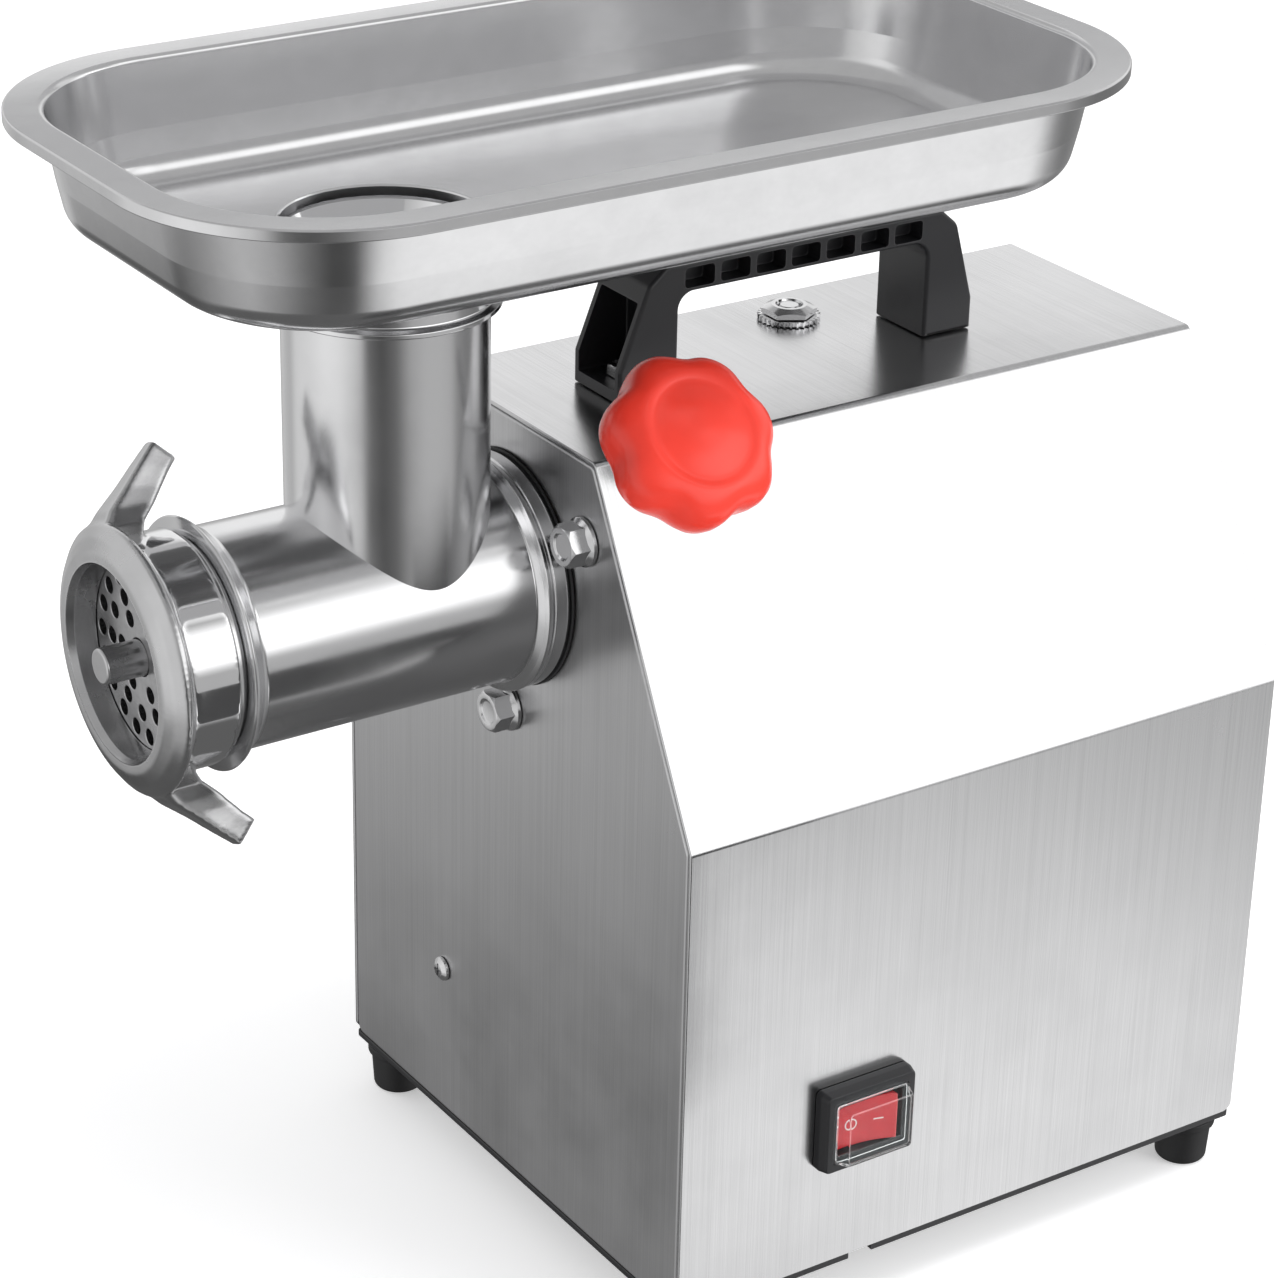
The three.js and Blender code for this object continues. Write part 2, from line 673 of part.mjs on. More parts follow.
function headBody() {
  const revolved = turnedY([
    [0, SHANK_END], [SHANK_R, SHANK_END], [SHANK_R, HEAD_BACK], [39.6, HEAD_BACK], [40.2, -3], [40.2, -7],
    [39, -8], [40.6, -8.6], [40.6, -10], [39, -10.6], [BARREL_R, -12], [BARREL_R, COLLAR_Y + 3],
    [COLLAR_R, COLLAR_Y + 1], [COLLAR_R, COLLAR_Y - 0.5], [NECK_R, COLLAR_Y - 2], [NECK_R, NECK_FRONT],
    [0, NECK_FRONT],
  ], 0, AXIS_Z, 32);
  const tube = cylinderZ(TUBE_R, AXIS_Z, TUBE_TOP, 0, TUBE_Y, 32);
  const backWall = -13;
  const tailBore = 12.6;
  return cut(
    join(revolved, tube),
    cylinderY(BORE_R, NECK_FRONT - 1, backWall, 0, AXIS_Z, 28),
    cylinderY(tailBore, backWall - 1, SHANK_END + 1, 0, AXIS_Z, 18),
    cylinderZ(BORE_R, AXIS_Z, TUBE_TOP + 1, 0, TUBE_Y, 28),
  );
}

function headGasket() {
  const [innerR, outerR] = [SHANK_R + GAP, 40.6];
  const [back, front] = [-GAP, HEAD_BACK + GAP];
  return turnedY([[innerR, back], [outerR, back], [outerR, front], [innerR, front]], 0, AXIS_Z, 28);
}

add('head_body', 'polished_steel', headBody());
add('head_gasket', 'rubber', headGasket());

// The ring nut: a threaded sleeve with a flared front flange and two swept-back wings.
const RING_SEAT = PLATE_FRONT - GAP;
const RING_POCKET_R = PLATE_R + GAP + 0.1;

function ringNut() {
  const threadR = NECK_R + GAP + 0.1;
  const ring = turnedY([
    [RING_OPENING_R, RING_FRONT], [36.4, RING_FRONT], [37.6, RING_FRONT + 0.6],
    [RING_FLANGE_R, RING_FRONT + 4.6], [RING_FLANGE_R - 0.6, RING_FRONT + 6.4],
    [RING_SLEEVE_R, RING_FRONT + 8], [RING_SLEEVE_R, RING_BACK],
    [threadR, RING_BACK], [threadR, NECK_FRONT], [RING_POCKET_R, NECK_FRONT], [RING_POCKET_R, RING_SEAT],
    [30.6, RING_SEAT],
  ], 0, AXIS_Z, 32);
  const pocket = cylinderY(RING_POCKET_R, RING_SEAT, -100, 0, AXIS_Z, 32);
  const opening = cylinderY(RING_OPENING_R + 2, RING_FRONT - 10, RING_SEAT, 0, AXIS_Z, 32);
  const wings = [1, -1].map((side) => cut(ringWing(side), pocket, opening));
  return join(ring, ...wings);
}

// A wing is a blade in a plane through the axis, fanned out where it meets the sleeve.
// Each station gives its front and back edge as [distance out, Y, half thickness].
function ringWing(side) {
  const stations = [
    { front: [36, RING_FRONT + 2.6, 19], back: [36, RING_FRONT + 13.5, 17] },
    { front: [42, RING_FRONT + 4, 14.8], back: [42, RING_FRONT + 19, 11.5] },
    { front: [47, RING_FRONT + 8, 10.4], back: [46.5, RING_FRONT + 24.3, 7.6] },
    { front: [53, RING_FRONT + 15, 6.4], back: [51, RING_FRONT + 28.4, 5] },
    { front: [60, RING_FRONT + 22.5, 3.8], back: [55.5, RING_FRONT + 32.4, 3.3] },
    { front: [66, RING_FRONT + 29, 2.4], back: [59, RING_FRONT + 36, 2.4] },
  ];
  const tilt = radians(WING_TILT);
  const outwards = new THREE.Vector3(-side * Math.sin(tilt), 0, side * Math.cos(tilt));
  const across = new THREE.Vector3(Math.cos(tilt), 0, Math.sin(tilt));
  const rings = stations.map(({ front, back }) => {
    const corners = [[back, -1], [back, 1], [front, 1], [front, -1]];
    return corners.map(([[out, y, half], sign]) => {
      const point = outwards.clone().multiplyScalar(out).addScaledVector(across, sign * half);
      return [point.x, y, AXIS_Z + point.z];
    });
  });
  return solid(loftGeometry(rings));
}

function cuttingPlate() {
  const disc = cylinderY(PLATE_R, PLATE_FRONT, PLATE_BACK, 0, AXIS_Z, 32);
  const holes = [cylinderY(PIN_R + GAP, PLATE_FRONT - 1, PLATE_BACK + 1, 0, AXIS_Z, 16)];
  const circles = [[12.5, 6], [19.5, 12], [26.5, 18]];
  for (const [radius, count] of circles) {
    for (const [x, z] of circlePoints(0, AXIS_Z, radius, count)) {
      holes.push(cylinderY(PLATE_HOLE_R, PLATE_FRONT - 1, PLATE_BACK + 1, x, z, 6));
    }
  }
  return cut(disc, ...holes);
}

add('ring_nut', 'cast_steel', ringNut());
add('cutting_plate', 'machined_steel', cuttingPlate());

const KNIFE_FRONT = PLATE_BACK + GAP;
const KNIFE_BACK = -116;
const KNIFE_SQUARE = 12;
const FLIGHT_FRONT = -114.5;
const FLIGHT_BACK = -20;
const FLIGHT_TURNS = 3;
const FLIGHT_START = 7;              // degrees
const FLIGHT_R = BORE_R - 0.8;
const AUGER_CORE_R = 10;
const TAIL_R = 12;
const TAIL_SQUARE = 15;
const TAIL_END = 60;

function centredSquare(size, y0, y1) {
  return block([-size / 2, size / 2], [y0, y1], [AXIS_Z - size / 2, AXIS_Z + size / 2]);
}

function knife() {
  const hub = cylinderY(12, KNIFE_FRONT, KNIFE_BACK, 0, AXIS_Z, 20);
  const arms = [0, 90, 180, 270].map((degrees) => {
    const outline = new THREE.Shape();
    outline.moveTo(6, -5);
    outline.lineTo(28.5, -2);
    outline.lineTo(28.5, 3.5);
    outline.lineTo(6, 7);
    outline.closePath();
    const arm = new THREE.ExtrudeGeometry(outline, { depth: 7, bevelEnabled: false });
    arm.rotateZ(radians(degrees));
    arm.rotateX(Math.PI / 2);
    return solid(arm.translate(0, KNIFE_FRONT + 7, AXIS_Z));
  });
  return cut(join(hub, ...arms), centredSquare(KNIFE_SQUARE + 2 * GAP, -130, -100));
}

// The auger: a core with one helical flight, a pin and square for the knife, and a square tail.
function auger() {
  const core = turnedY([
    [0, PIN_END], [PIN_R - 0.8, PIN_END], [PIN_R, PIN_END + 0.8], [PIN_R, KNIFE_BACK + GAP],
    [AUGER_CORE_R, KNIFE_BACK + GAP], [TAIL_R, -18], [TAIL_R, SHANK_END + GAP], [0, SHANK_END + GAP],
  ], 0, AXIS_Z, 18);
  const steps = 12 * FLIGHT_TURNS;
  const rings = [];
  for (let i = 0; i <= steps; i++) {
    const angle = radians(FLIGHT_START) + 2 * Math.PI * FLIGHT_TURNS * i / steps;
    const y = FLIGHT_FRONT + 2.5 + (FLIGHT_BACK - FLIGHT_FRONT - 5) * i / steps;
    const section = [[AUGER_CORE_R - 2, -2.5], [FLIGHT_R, -1.4], [FLIGHT_R, 1.4], [AUGER_CORE_R - 2, 2.5]];
    rings.push(section.map(([r, dy]) => [r * Math.cos(angle), y + dy, AXIS_Z + r * Math.sin(angle)]));
  }
  return join(
    core,
    solid(loftGeometry(rings)),
    centredSquare(KNIFE_SQUARE, KNIFE_FRONT + 1, KNIFE_BACK + 2),
    centredSquare(TAIL_SQUARE, SHANK_END + GAP, TAIL_END),
  );
}

add('knife', 'machined_steel', knife());
add('auger', 'cast_steel', auger());

// ---------------------------------------------------------------- feed tray

// Points round the tray's rounded rectangle, moved in from the rim's outer edge.
function trayRing(inset, z) {
  const centreY = (TRAY_FRONT + TRAY_BACK) / 2;
  const halfLength = (TRAY_BACK - TRAY_FRONT) / 2;
  const corner = TRAY_CORNER_R - inset;
  const cornerX = TRAY_HALF_WIDTH - TRAY_CORNER_R;
  const cornerY = halfLength - TRAY_CORNER_R;
  const steps = 6;
  const ring = [];
  for (const [sx, sy, start] of [[1, 1, 0], [-1, 1, 90], [-1, -1, 180], [1, -1, 270]]) {
    for (let i = 0; i <= steps; i++) {
      const angle = radians(start + 90 * i / steps);
      const x = sx * cornerX + corner * Math.cos(angle);
      const y = centreY + sy * cornerY + corner * Math.sin(angle);
      ring.push([x, y, z]);
    }
  }
  return ring;
}

function feedTray() {
  const floor = TRAY_FLOOR_Z;
  const under = floor - TRAY_SHEET;
  const rim = TRAY_RIM_Z;
  const outside = solid(loftGeometry([
    [38, under], [27, under + 2.4], [19, under + 8], [15.2, floor + 16], [12.6, rim - 4], [10.6, rim - 1.2],
    [1.2, rim - 1.2], [1.2, rim - 4], [0, rim - 4], [0, rim - 1], [1, rim], [6, rim],
  ].map(([inset, z]) => trayRing(inset, z))));
  const inside = solid(loftGeometry([
    [38, floor], [27.6, floor + 2.3], [20.2, floor + 7.6], [16.4, floor + 16], [13.8, rim - 3.6],
    [9.5, rim + 1.5],
  ].map(([inset, z]) => trayRing(inset, z))));
  const lip = turnedZ([
    [TRAY_HOLE_R, under + 0.4], [TRAY_HOLE_R, floor + 2.8], [TRAY_HOLE_R + 1.6, floor + 3.4],
    [TRAY_HOLE_R + 3.4, under + 0.4],
  ], 0, TUBE_Y, 28);
  const hole = cylinderZ(TRAY_HOLE_R + 1, 370, 400, 0, TUBE_Y, 28);
  return join(cut(outside, inside, hole), lip);
}

function trayCollar() {
  const top = TRAY_FLOOR_Z - TRAY_SHEET - GAP;
  const seat = TUBE_TOP + GAP;
  const neckR = BORE_R - 0.6;
  return turnedZ([
    [TRAY_HOLE_R, top], [35.4, top], [35.4, seat + 2.4], [37.2, seat + 1.6], [37.2, seat], [neckR, seat],
    [neckR, seat - 25], [neckR - 1.2, seat - 25], [neckR - 1.2, seat + 12],
  ], 0, TUBE_Y, 28);
}

add('feed_tray', 'brushed_steel', feedTray());
add('tray_collar', 'polished_steel', trayCollar());

// ---------------------------------------------------------------- gears

// Teeth are trapezoids, thinned to leave backlash. Each profile point is a radius and a share
// of half the tooth pitch.
function gear(teeth, module, [y0, y1], z, bore, firstTooth) {
  const pitchR = module * teeth / 2;
  const halfPitch = 180 / teeth;
  const root = pitchR - 1.15 * module;
  const tip = pitchR + 0.8 * module;
  const profile = [[root, -0.66], [tip, -0.22], [tip, 0.22], [root, 0.66]];
  const outline = [];
  for (let tooth = 0; tooth < teeth; tooth++) {
    for (const [r, part] of profile) {
      const angle = radians(firstTooth + 2 * halfPitch * tooth + halfPitch * part);
      outline.push(new THREE.Vector2(r * Math.cos(angle), r * Math.sin(angle)));
    }
  }
  const shape = new THREE.Shape(outline);
  if (bore > 0) shape.holes.push(new THREE.Path().absarc(0, 0, bore, 0, 2 * Math.PI));
  const wheel = new THREE.ExtrudeGeometry(shape, { depth: y1 - y0, bevelEnabled: false, curveSegments: 8 });
  wheel.rotateX(Math.PI / 2);
  return solid(wheel.translate(0, y1, z));
}

const DOWN = -90;
const UP = 90;
const OUTPUT_HUB_R = 17;
const OUTPUT_REAR_R = 11;
const LAY_JOURNAL_R = 8;
const LAY_COLLAR_R = 12;
const GEAR_SEAT_R = 14;
const SHOULDER_Y = 66;               // where both gear shafts step inside the case

function outputShaft() {
  const front = SHANK_END + 2.5;
  const turnedBody = turnedY([
    [0, front], [OUTPUT_HUB_R, front], [OUTPUT_HUB_R, SHOULDER_Y], [GEAR_SEAT_R, SHOULDER_Y],
    [GEAR_SEAT_R, STAGE_TWO[1]], [OUTPUT_REAR_R, STAGE_TWO[1]], [OUTPUT_REAR_R, CASE_COVER_BACK - 1],
    [0, CASE_COVER_BACK - 1],
  ], 0, AXIS_Z, 24);
  return cut(turnedBody, centredSquare(TAIL_SQUARE + 2 * GAP, front - 1, TAIL_END + 1));
}

function layshaft() {
  const shaft = turnedY([
    [0, 56], [LAY_JOURNAL_R, 56], [LAY_JOURNAL_R, SHOULDER_Y], [LAY_COLLAR_R, SHOULDER_Y],
    [LAY_COLLAR_R, STAGE_ONE[0] - GAP], [LAY_JOURNAL_R, STAGE_ONE[0] - GAP],
    [LAY_JOURNAL_R, CASE_COVER_BACK - 1], [0, CASE_COVER_BACK - 1],
  ], 0, LAY_Z, 20);
  const firstTooth = UP + 180 / LAY_PINION_TEETH;
  return join(shaft, gear(LAY_PINION_TEETH, OUTPUT_MODULE, STAGE_TWO, LAY_Z, 0, firstTooth));
}

add('output_shaft', 'machined_steel', outputShaft());
const outputGear = gear(OUTPUT_TEETH, OUTPUT_MODULE, STAGE_TWO, AXIS_Z, GEAR_SEAT_R + GAP, DOWN);
const layshaftGear = gear(LAY_TEETH, MOTOR_MODULE, STAGE_ONE, LAY_Z, LAY_JOURNAL_R + GAP, DOWN);
add('output_gear', 'machined_steel', outputGear);
add('layshaft', 'machined_steel', layshaft());
add('layshaft_gear', 'machined_steel', layshaftGear);
add('motor_pinion', 'machined_steel', gear(
  MOTOR_PINION_TEETH, MOTOR_MODULE, STAGE_ONE, MOTOR_Z, MOTOR_SHAFT_R + GAP, UP + 180 / MOTOR_PINION_TEETH,
));

// ---------------------------------------------------------------- gearbox

const CASE_CIRCLES = [[0, AXIS_Z, 46.5], [0, LAY_Z, 49.5], [0, MOTOR_Z, 20]];
const caseOutline = (wall) => beltOutline(CASE_CIRCLES.map(([x, z, r]) => [x, z, r + wall]));
const NOSE_R = 34;
const BEARING_R = 26;
const REAR_BEARING_R = 20;
const BUSH_R = 12;

function gearboxCase() {
  const flangeDisc = cylinderY(FLANGE_BOLT_CIRCLE_R + 9, SHEET + GAP, 9, 0, AXIS_Z, 28);
  const flange = flangeDisc.intersect(extrudeY(bodySection(6, 100, 0), 0, 12));
  return cut(
    join(
      flange,
      cylinderY(NOSE_R, 8, CASE_FRONT + 1, 0, AXIS_Z, 24),
      clampCylinder(10, NOSE_R - 6, 62),
      extrudeY(caseOutline(CASE_WALL), CASE_FRONT, CASE_BACK),
    ),
    extrudeY(caseOutline(0), CASE_CHAMBER, CASE_BACK + 1),
    cylinderY(SHANK_R + GAP, 0, SHANK_END + 1, 0, AXIS_Z, 32),
    cylinderY(OUTPUT_HUB_R + 1, SHANK_END, CASE_CHAMBER + 1, 0, AXIS_Z, 24),
    cylinderY(BEARING_R + GAP, CASE_FRONT + 1, CASE_CHAMBER + 1, 0, AXIS_Z, 20),
    cylinderY(BUSH_R + GAP, 55, CASE_CHAMBER + 1, 0, LAY_Z, 20),
    clampCylinder(CLAMP_SCREW_R + GAP, 20, 70, 16),
    ...FLANGE_BOLTS.map(({ x, z }) => cylinderY(FLANGE_BOLT_R + GAP, 0, 20, x, z, 12)),
  );
}

function gearboxCover() {
  const front = CASE_BACK + GAP;
  const { x, y } = TIE_STUD;
  const lug = block([x - 11, x + 11], [front + 1, y + 12], [LUG_TOP - 8, LUG_TOP]);
  return cut(
    join(extrudeY(caseOutline(CASE_WALL), front, CASE_COVER_BACK), lug),
    cylinderY(REAR_BEARING_R + GAP, 90, 120, 0, AXIS_Z, 24),
    cylinderY(BUSH_R + GAP, 90, 120, 0, LAY_Z, 20),
    cylinderY(MOTOR_SHAFT_R + 1, 90, 120, 0, MOTOR_Z, 20),
  );
}

function bearing(innerR, outerR, y0, y1, z) {
  return turnedY([[innerR, y0], [outerR, y0], [outerR, y1], [innerR, y1]], 0, z, 20);
}

function bush(innerR, y0, y1, z) {
  return turnedY([[innerR, y0], [BUSH_R, y0], [BUSH_R, y1], [innerR, y1]], 0, z, 16);
}

add('gearbox_case', 'cast_aluminium', gearboxCase());
add('gearbox_cover', 'cast_aluminium', gearboxCover());
const frontBearing = bearing(OUTPUT_HUB_R + GAP, BEARING_R, CASE_FRONT + 2, CASE_CHAMBER - 1, AXIS_Z);
const rearBearing = bearing(OUTPUT_REAR_R + GAP, REAR_BEARING_R, CASE_BACK, CASE_COVER_BACK, AXIS_Z);
add('output_bearing_front', 'machined_steel', frontBearing);
add('output_bearing_rear', 'machined_steel', rearBearing);
add('layshaft_bush_front', 'copper', bush(LAY_JOURNAL_R + GAP, 55.5, 65, LAY_Z));
add('layshaft_bush_rear', 'copper', bush(LAY_JOURNAL_R + GAP, 97, CASE_COVER_BACK, LAY_Z));

// ---------------------------------------------------------------- motor

const SHIELD_FRONT = 109;
const STATOR = [128.3, 180];
const SHIELD_BACK = 199;
const MOTOR_BEARING_R = 14;
const ROTOR_R = 28;
const MOTOR_SHAFT_END = 216;

// A cup that closes one end of the stator and carries a bearing.
function endShield(face, inwards, rimLength) {
  const at = (distance) => face + inwards * distance;
  const seatR = MOTOR_BEARING_R + GAP;
  return turnedY([
    [MOTOR_SHAFT_R + 1.5, at(0)], [STATOR_R - 3, at(0)], [STATOR_R, at(3)], [STATOR_R, at(rimLength)],
    [STATOR_R - 4, at(rimLength)], [STATOR_R - 4, at(4)], [seatR + 3, at(4)], [seatR + 3, at(10)],
    [seatR, at(10)], [seatR, at(2)], [MOTOR_SHAFT_R + 1.5, at(2)],
  ], 0, MOTOR_Z, 20);
}

function ringAt(innerR, outerR, y0, y1, sides = 20) {
  return turnedY([[innerR, y0], [outerR, y0], [outerR, y1], [innerR, y1]], 0, MOTOR_Z, sides);
}

function coolingFan() {
  const [front, back] = [203, 213];
  const hub = cylinderY(14, front, back, 0, MOTOR_Z, 20);
  const blades = [];
  for (let i = 0; i < 7; i++) {
    const blade = new THREE.BoxGeometry(34, 1.6, 9).rotateX(radians(35)).translate(29, 0, 0);
    blade.rotateY(2 * Math.PI * i / 7);
    blades.push(solid(blade.translate(0, (front + back) / 2, MOTOR_Z)));
  }
  return cut(join(hub, ...blades), cylinderY(MOTOR_SHAFT_R + GAP, 190, 230, 0, MOTOR_Z, 16));
}

function motorCradle() {
  const saddle = roundedOutline([[-48, WALL_BOTTOM], [48, WALL_BOTTOM], [48, 118, 3], [-48, 118, 3]]);
  return cut(extrudeY(saddle, 138, 172, 3), cylinderY(STATOR_R + GAP, 130, 180, 0, MOTOR_Z, 36));
}

const motorShaft = cylinderY(MOTOR_SHAFT_R, STAGE_ONE[0] - 1, MOTOR_SHAFT_END, 0, MOTOR_Z, 20);
add('motor_shaft', 'machined_steel', motorShaft);
add('rotor_core', 'lamination', ringAt(MOTOR_SHAFT_R + GAP, ROTOR_R, STATOR[0] + 1, STATOR[1] - 1));
add('stator_core', 'lamination', ringAt(ROTOR_R + 0.7, STATOR_R, ...STATOR));
add('winding_front', 'copper', ringAt(32, 44, STATOR[0] - 10, STATOR[0] - GAP));
add('winding_rear', 'copper', ringAt(32, 44, STATOR[1] + GAP, STATOR[1] + 9));
add('motor_shield_front', 'cast_aluminium', endShield(SHIELD_FRONT, 1, STATOR[0] - GAP - SHIELD_FRONT));
add('motor_shield_rear', 'cast_aluminium', endShield(SHIELD_BACK, -1, SHIELD_BACK - STATOR[1] - GAP));

// The bearings sit between the shields' floors and 9 mm from their outer faces.
const MOTOR_BEARINGS = [
  ['motor_bearing_front', SHIELD_FRONT + 2 + GAP, SHIELD_FRONT + 9],
  ['motor_bearing_rear', SHIELD_BACK - 9, SHIELD_BACK - 2 - GAP],
];
for (const [name, y0, y1] of MOTOR_BEARINGS) {
  add(name, 'machined_steel', bearing(MOTOR_SHAFT_R + GAP, MOTOR_BEARING_R, y0, y1, MOTOR_Z));
}
add('cooling_fan', 'black_plastic', coolingFan());
add('motor_cradle', 'painted_base', motorCradle());

// ---------------------------------------------------------------- electrical pieces

const CAPACITOR = { x: -80, z: 42, r: 17 };

function capacitor() {
  const { x, z, r } = CAPACITOR;
  return turnedY([
    [0, 118], [r - 1, 118], [r, 119], [r, 188], [r - 3, 190], [5, 190], [5, 194], [0, 194],
  ], x, z, 18);
}

function capacitorClamp() {
  const { x, z, r } = CAPACITOR;
  const band = cylinderY(r + 2, 146, 162, x, z, 24);
  const footing = block([x - 4, x + r + 12], [146, 162], [WALL_BOTTOM, WALL_BOTTOM + 2.5]);
  return cut(join(band, footing), cylinderY(r + GAP, 140, 170, x, z, 24));
}

function cableGland() {
  const { x, z, r, hole } = GLAND;
  const outer = BODY_LENGTH + GAP;
  return turnedY([
    [hole, 234], [r, 234], [r, outer], [14, outer], [14, outer + 3], [r, outer + 13], [8, outer + 14],
    [hole, outer + 14],
  ], x, z, 16);
}

function glandNut() {
  const { x, z, r } = GLAND;
  const back = BODY_LENGTH - SHEET - GAP;
  return cut(cylinderY(13, back - 5, back, x, z, 6), cylinderY(r + GAP, 230, 250, x, z, 20));
}

// Insulated leads inside the body, from piece to piece.
function lead(points) {
  const curve = new THREE.CatmullRomCurve3(points.map((point) => new THREE.Vector3(...point)));
  const round = new THREE.Shape().absarc(0, 0, 3, 0, 2 * Math.PI);
  return solid(new THREE.ExtrudeGeometry(round, { extrudePath: curve, steps: 14, curveSegments: 3 }));
}

add('capacitor', 'cast_aluminium', capacitor());
add('capacitor_clamp', 'zinc', capacitorClamp());
add('cable_gland', 'black_plastic', cableGland());
add('gland_nut', 'black_plastic', glandNut());
add('lead_inlet_to_switch', 'rubber', lead([
  [66, 233, 64], [68, 215, 56], [74, 180, 40], [76, 140, 38], [76, 100, 48], [76, 84, 58], [80, 74, 68],
]));
add('lead_switch_to_motor', 'rubber', lead([
  [80, 74, 82], [74, 84, 92], [70, 105, 110], [68, 135, 122], [63, 150, 132], [57, 155, 136],
]));

// ---------------------------------------------------------------- origin

const extent = new THREE.Box3().setFromObject(model);
const middle = extent.getCenter(new THREE.Vector3());
model.position.set(-middle.x, -middle.y, -extent.min.z);
model.updateMatrixWorld(true);

export default model;
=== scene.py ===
"""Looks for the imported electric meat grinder: a studio, materials and finer pieces.

Shapes are built in millimetres in a layout frame whose origin lies below the barrel axis,
on the front panel and on the floor. show() turns them into metres in the row frame.
"""

import json
import math

import bmesh
import bpy
from mathutils import Matrix, Vector

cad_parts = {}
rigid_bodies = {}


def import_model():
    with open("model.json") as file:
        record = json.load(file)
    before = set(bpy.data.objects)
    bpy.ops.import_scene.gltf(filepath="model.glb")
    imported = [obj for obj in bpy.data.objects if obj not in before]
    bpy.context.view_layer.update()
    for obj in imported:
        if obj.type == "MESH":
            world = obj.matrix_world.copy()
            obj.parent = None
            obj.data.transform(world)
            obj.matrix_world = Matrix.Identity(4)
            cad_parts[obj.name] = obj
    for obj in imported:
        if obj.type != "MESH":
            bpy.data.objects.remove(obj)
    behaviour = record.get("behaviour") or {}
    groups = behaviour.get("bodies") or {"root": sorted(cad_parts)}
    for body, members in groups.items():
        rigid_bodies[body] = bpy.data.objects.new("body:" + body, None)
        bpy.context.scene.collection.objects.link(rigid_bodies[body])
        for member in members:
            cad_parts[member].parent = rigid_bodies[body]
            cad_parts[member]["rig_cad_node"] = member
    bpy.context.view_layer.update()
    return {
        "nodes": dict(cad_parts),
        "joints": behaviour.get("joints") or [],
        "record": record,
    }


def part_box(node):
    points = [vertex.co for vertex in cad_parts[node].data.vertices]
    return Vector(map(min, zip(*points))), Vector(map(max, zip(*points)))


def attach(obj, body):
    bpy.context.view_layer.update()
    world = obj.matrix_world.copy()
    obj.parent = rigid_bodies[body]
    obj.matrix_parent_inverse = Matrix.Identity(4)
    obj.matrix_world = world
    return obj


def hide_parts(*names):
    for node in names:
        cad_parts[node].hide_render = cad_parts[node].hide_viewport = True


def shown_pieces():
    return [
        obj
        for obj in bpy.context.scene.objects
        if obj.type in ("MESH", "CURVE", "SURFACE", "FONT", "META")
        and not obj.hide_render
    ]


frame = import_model()

# ---- values from the frame

RECORD = frame["record"]
BODY_OF = {node: body for body, nodes in RECORD["behaviour"]["bodies"].items() for node in nodes}
SLOT_OF = {part["node"]: part["material_slot"] for part in RECORD["subparts"]}
JOINTS = {joint["name"]: joint for joint in frame["joints"]}
MM = 0.001
AUGER_AXIS = Vector(JOINTS["auger_spin"]["pos_m"])
ORIGIN = Vector((AUGER_AXIS.x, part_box("front_panel")[0].y, 0.0))


def millimetres(point):
    """A point of the row frame in the layout frame."""
    return (Vector(point) - ORIGIN) / MM


def box(node):
    """The lowest and highest corner of a CAD node in the layout frame."""
    low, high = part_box(node)
    return millimetres(low), millimetres(high)


def middle(node):
    low, high = box(node)
    return (low + high) / 2


AXIS_Z = millimetres(AUGER_AXIS).z
TUBE_Y = middle("tray_collar").y
CLAMP_POINT = millimetres(JOINTS["clamp_knob_turn"]["pos_m"])
CLAMP_DIRECTION = Vector(JOINTS["clamp_knob_turn"]["axis"]).normalized()
BODY_LOW, BODY_HIGH = box("housing_cover")
HALF_WIDTH = BODY_HIGH.x
LENGTH = BODY_HIGH.y
ROOF_Z = BODY_HIGH.z
WALL_BOTTOM = BODY_LOW.z

# ---- sizes in millimetres

SHEET = 1.5
GAP = 0.3
FOLD_Z = 198.7
ROOF_HALF_WIDTH = 50.25
FOLD_RADIUS = 3.0
CORNER_RADIUS = 4.0            # lower corners of the walls and end panels
BARREL_R = 36.7
BORE_R = 30.3
TUBE_R = 33.3
SHANK_R = 25.0
PLATE_R = 35.0
PIN_R = 6.0
RING_OPENING_R = 32.2
ROUND = 128                    # sides of a large round piece
SMALL_ROUND = 64

# ---- node materials


class Nodes:
    """Adds shader nodes to a node tree."""

    def __init__(self, tree):
        self.tree = tree

    def feed(self, socket, value):
        if isinstance(value, bpy.types.NodeSocket):
            self.tree.links.new(value, socket)
        else:
            socket.default_value = value

    def add(self, kind, inputs, **settings):
        node = self.tree.nodes.new("ShaderNode" + kind)
        for key, value in settings.items():
            setattr(node, key, value)
        for key, value in inputs.items():
            self.feed(node.inputs[key], value)
        return node

    def spread(self, value, low=0.0, high=1.0, start=0.3, end=0.7):
        """Maps start..end to low..high, and stops at both ends."""
        inputs = {"Value": value, "From Min": start, "From Max": end, "To Min": low, "To Max": high}
        return self.add("MapRange", inputs).outputs[0]

    def blend(self, factor, first, second):
        inputs = {0: factor, 6: first, 7: second}
        return self.add("Mix", inputs, data_type="RGBA").outputs[2]


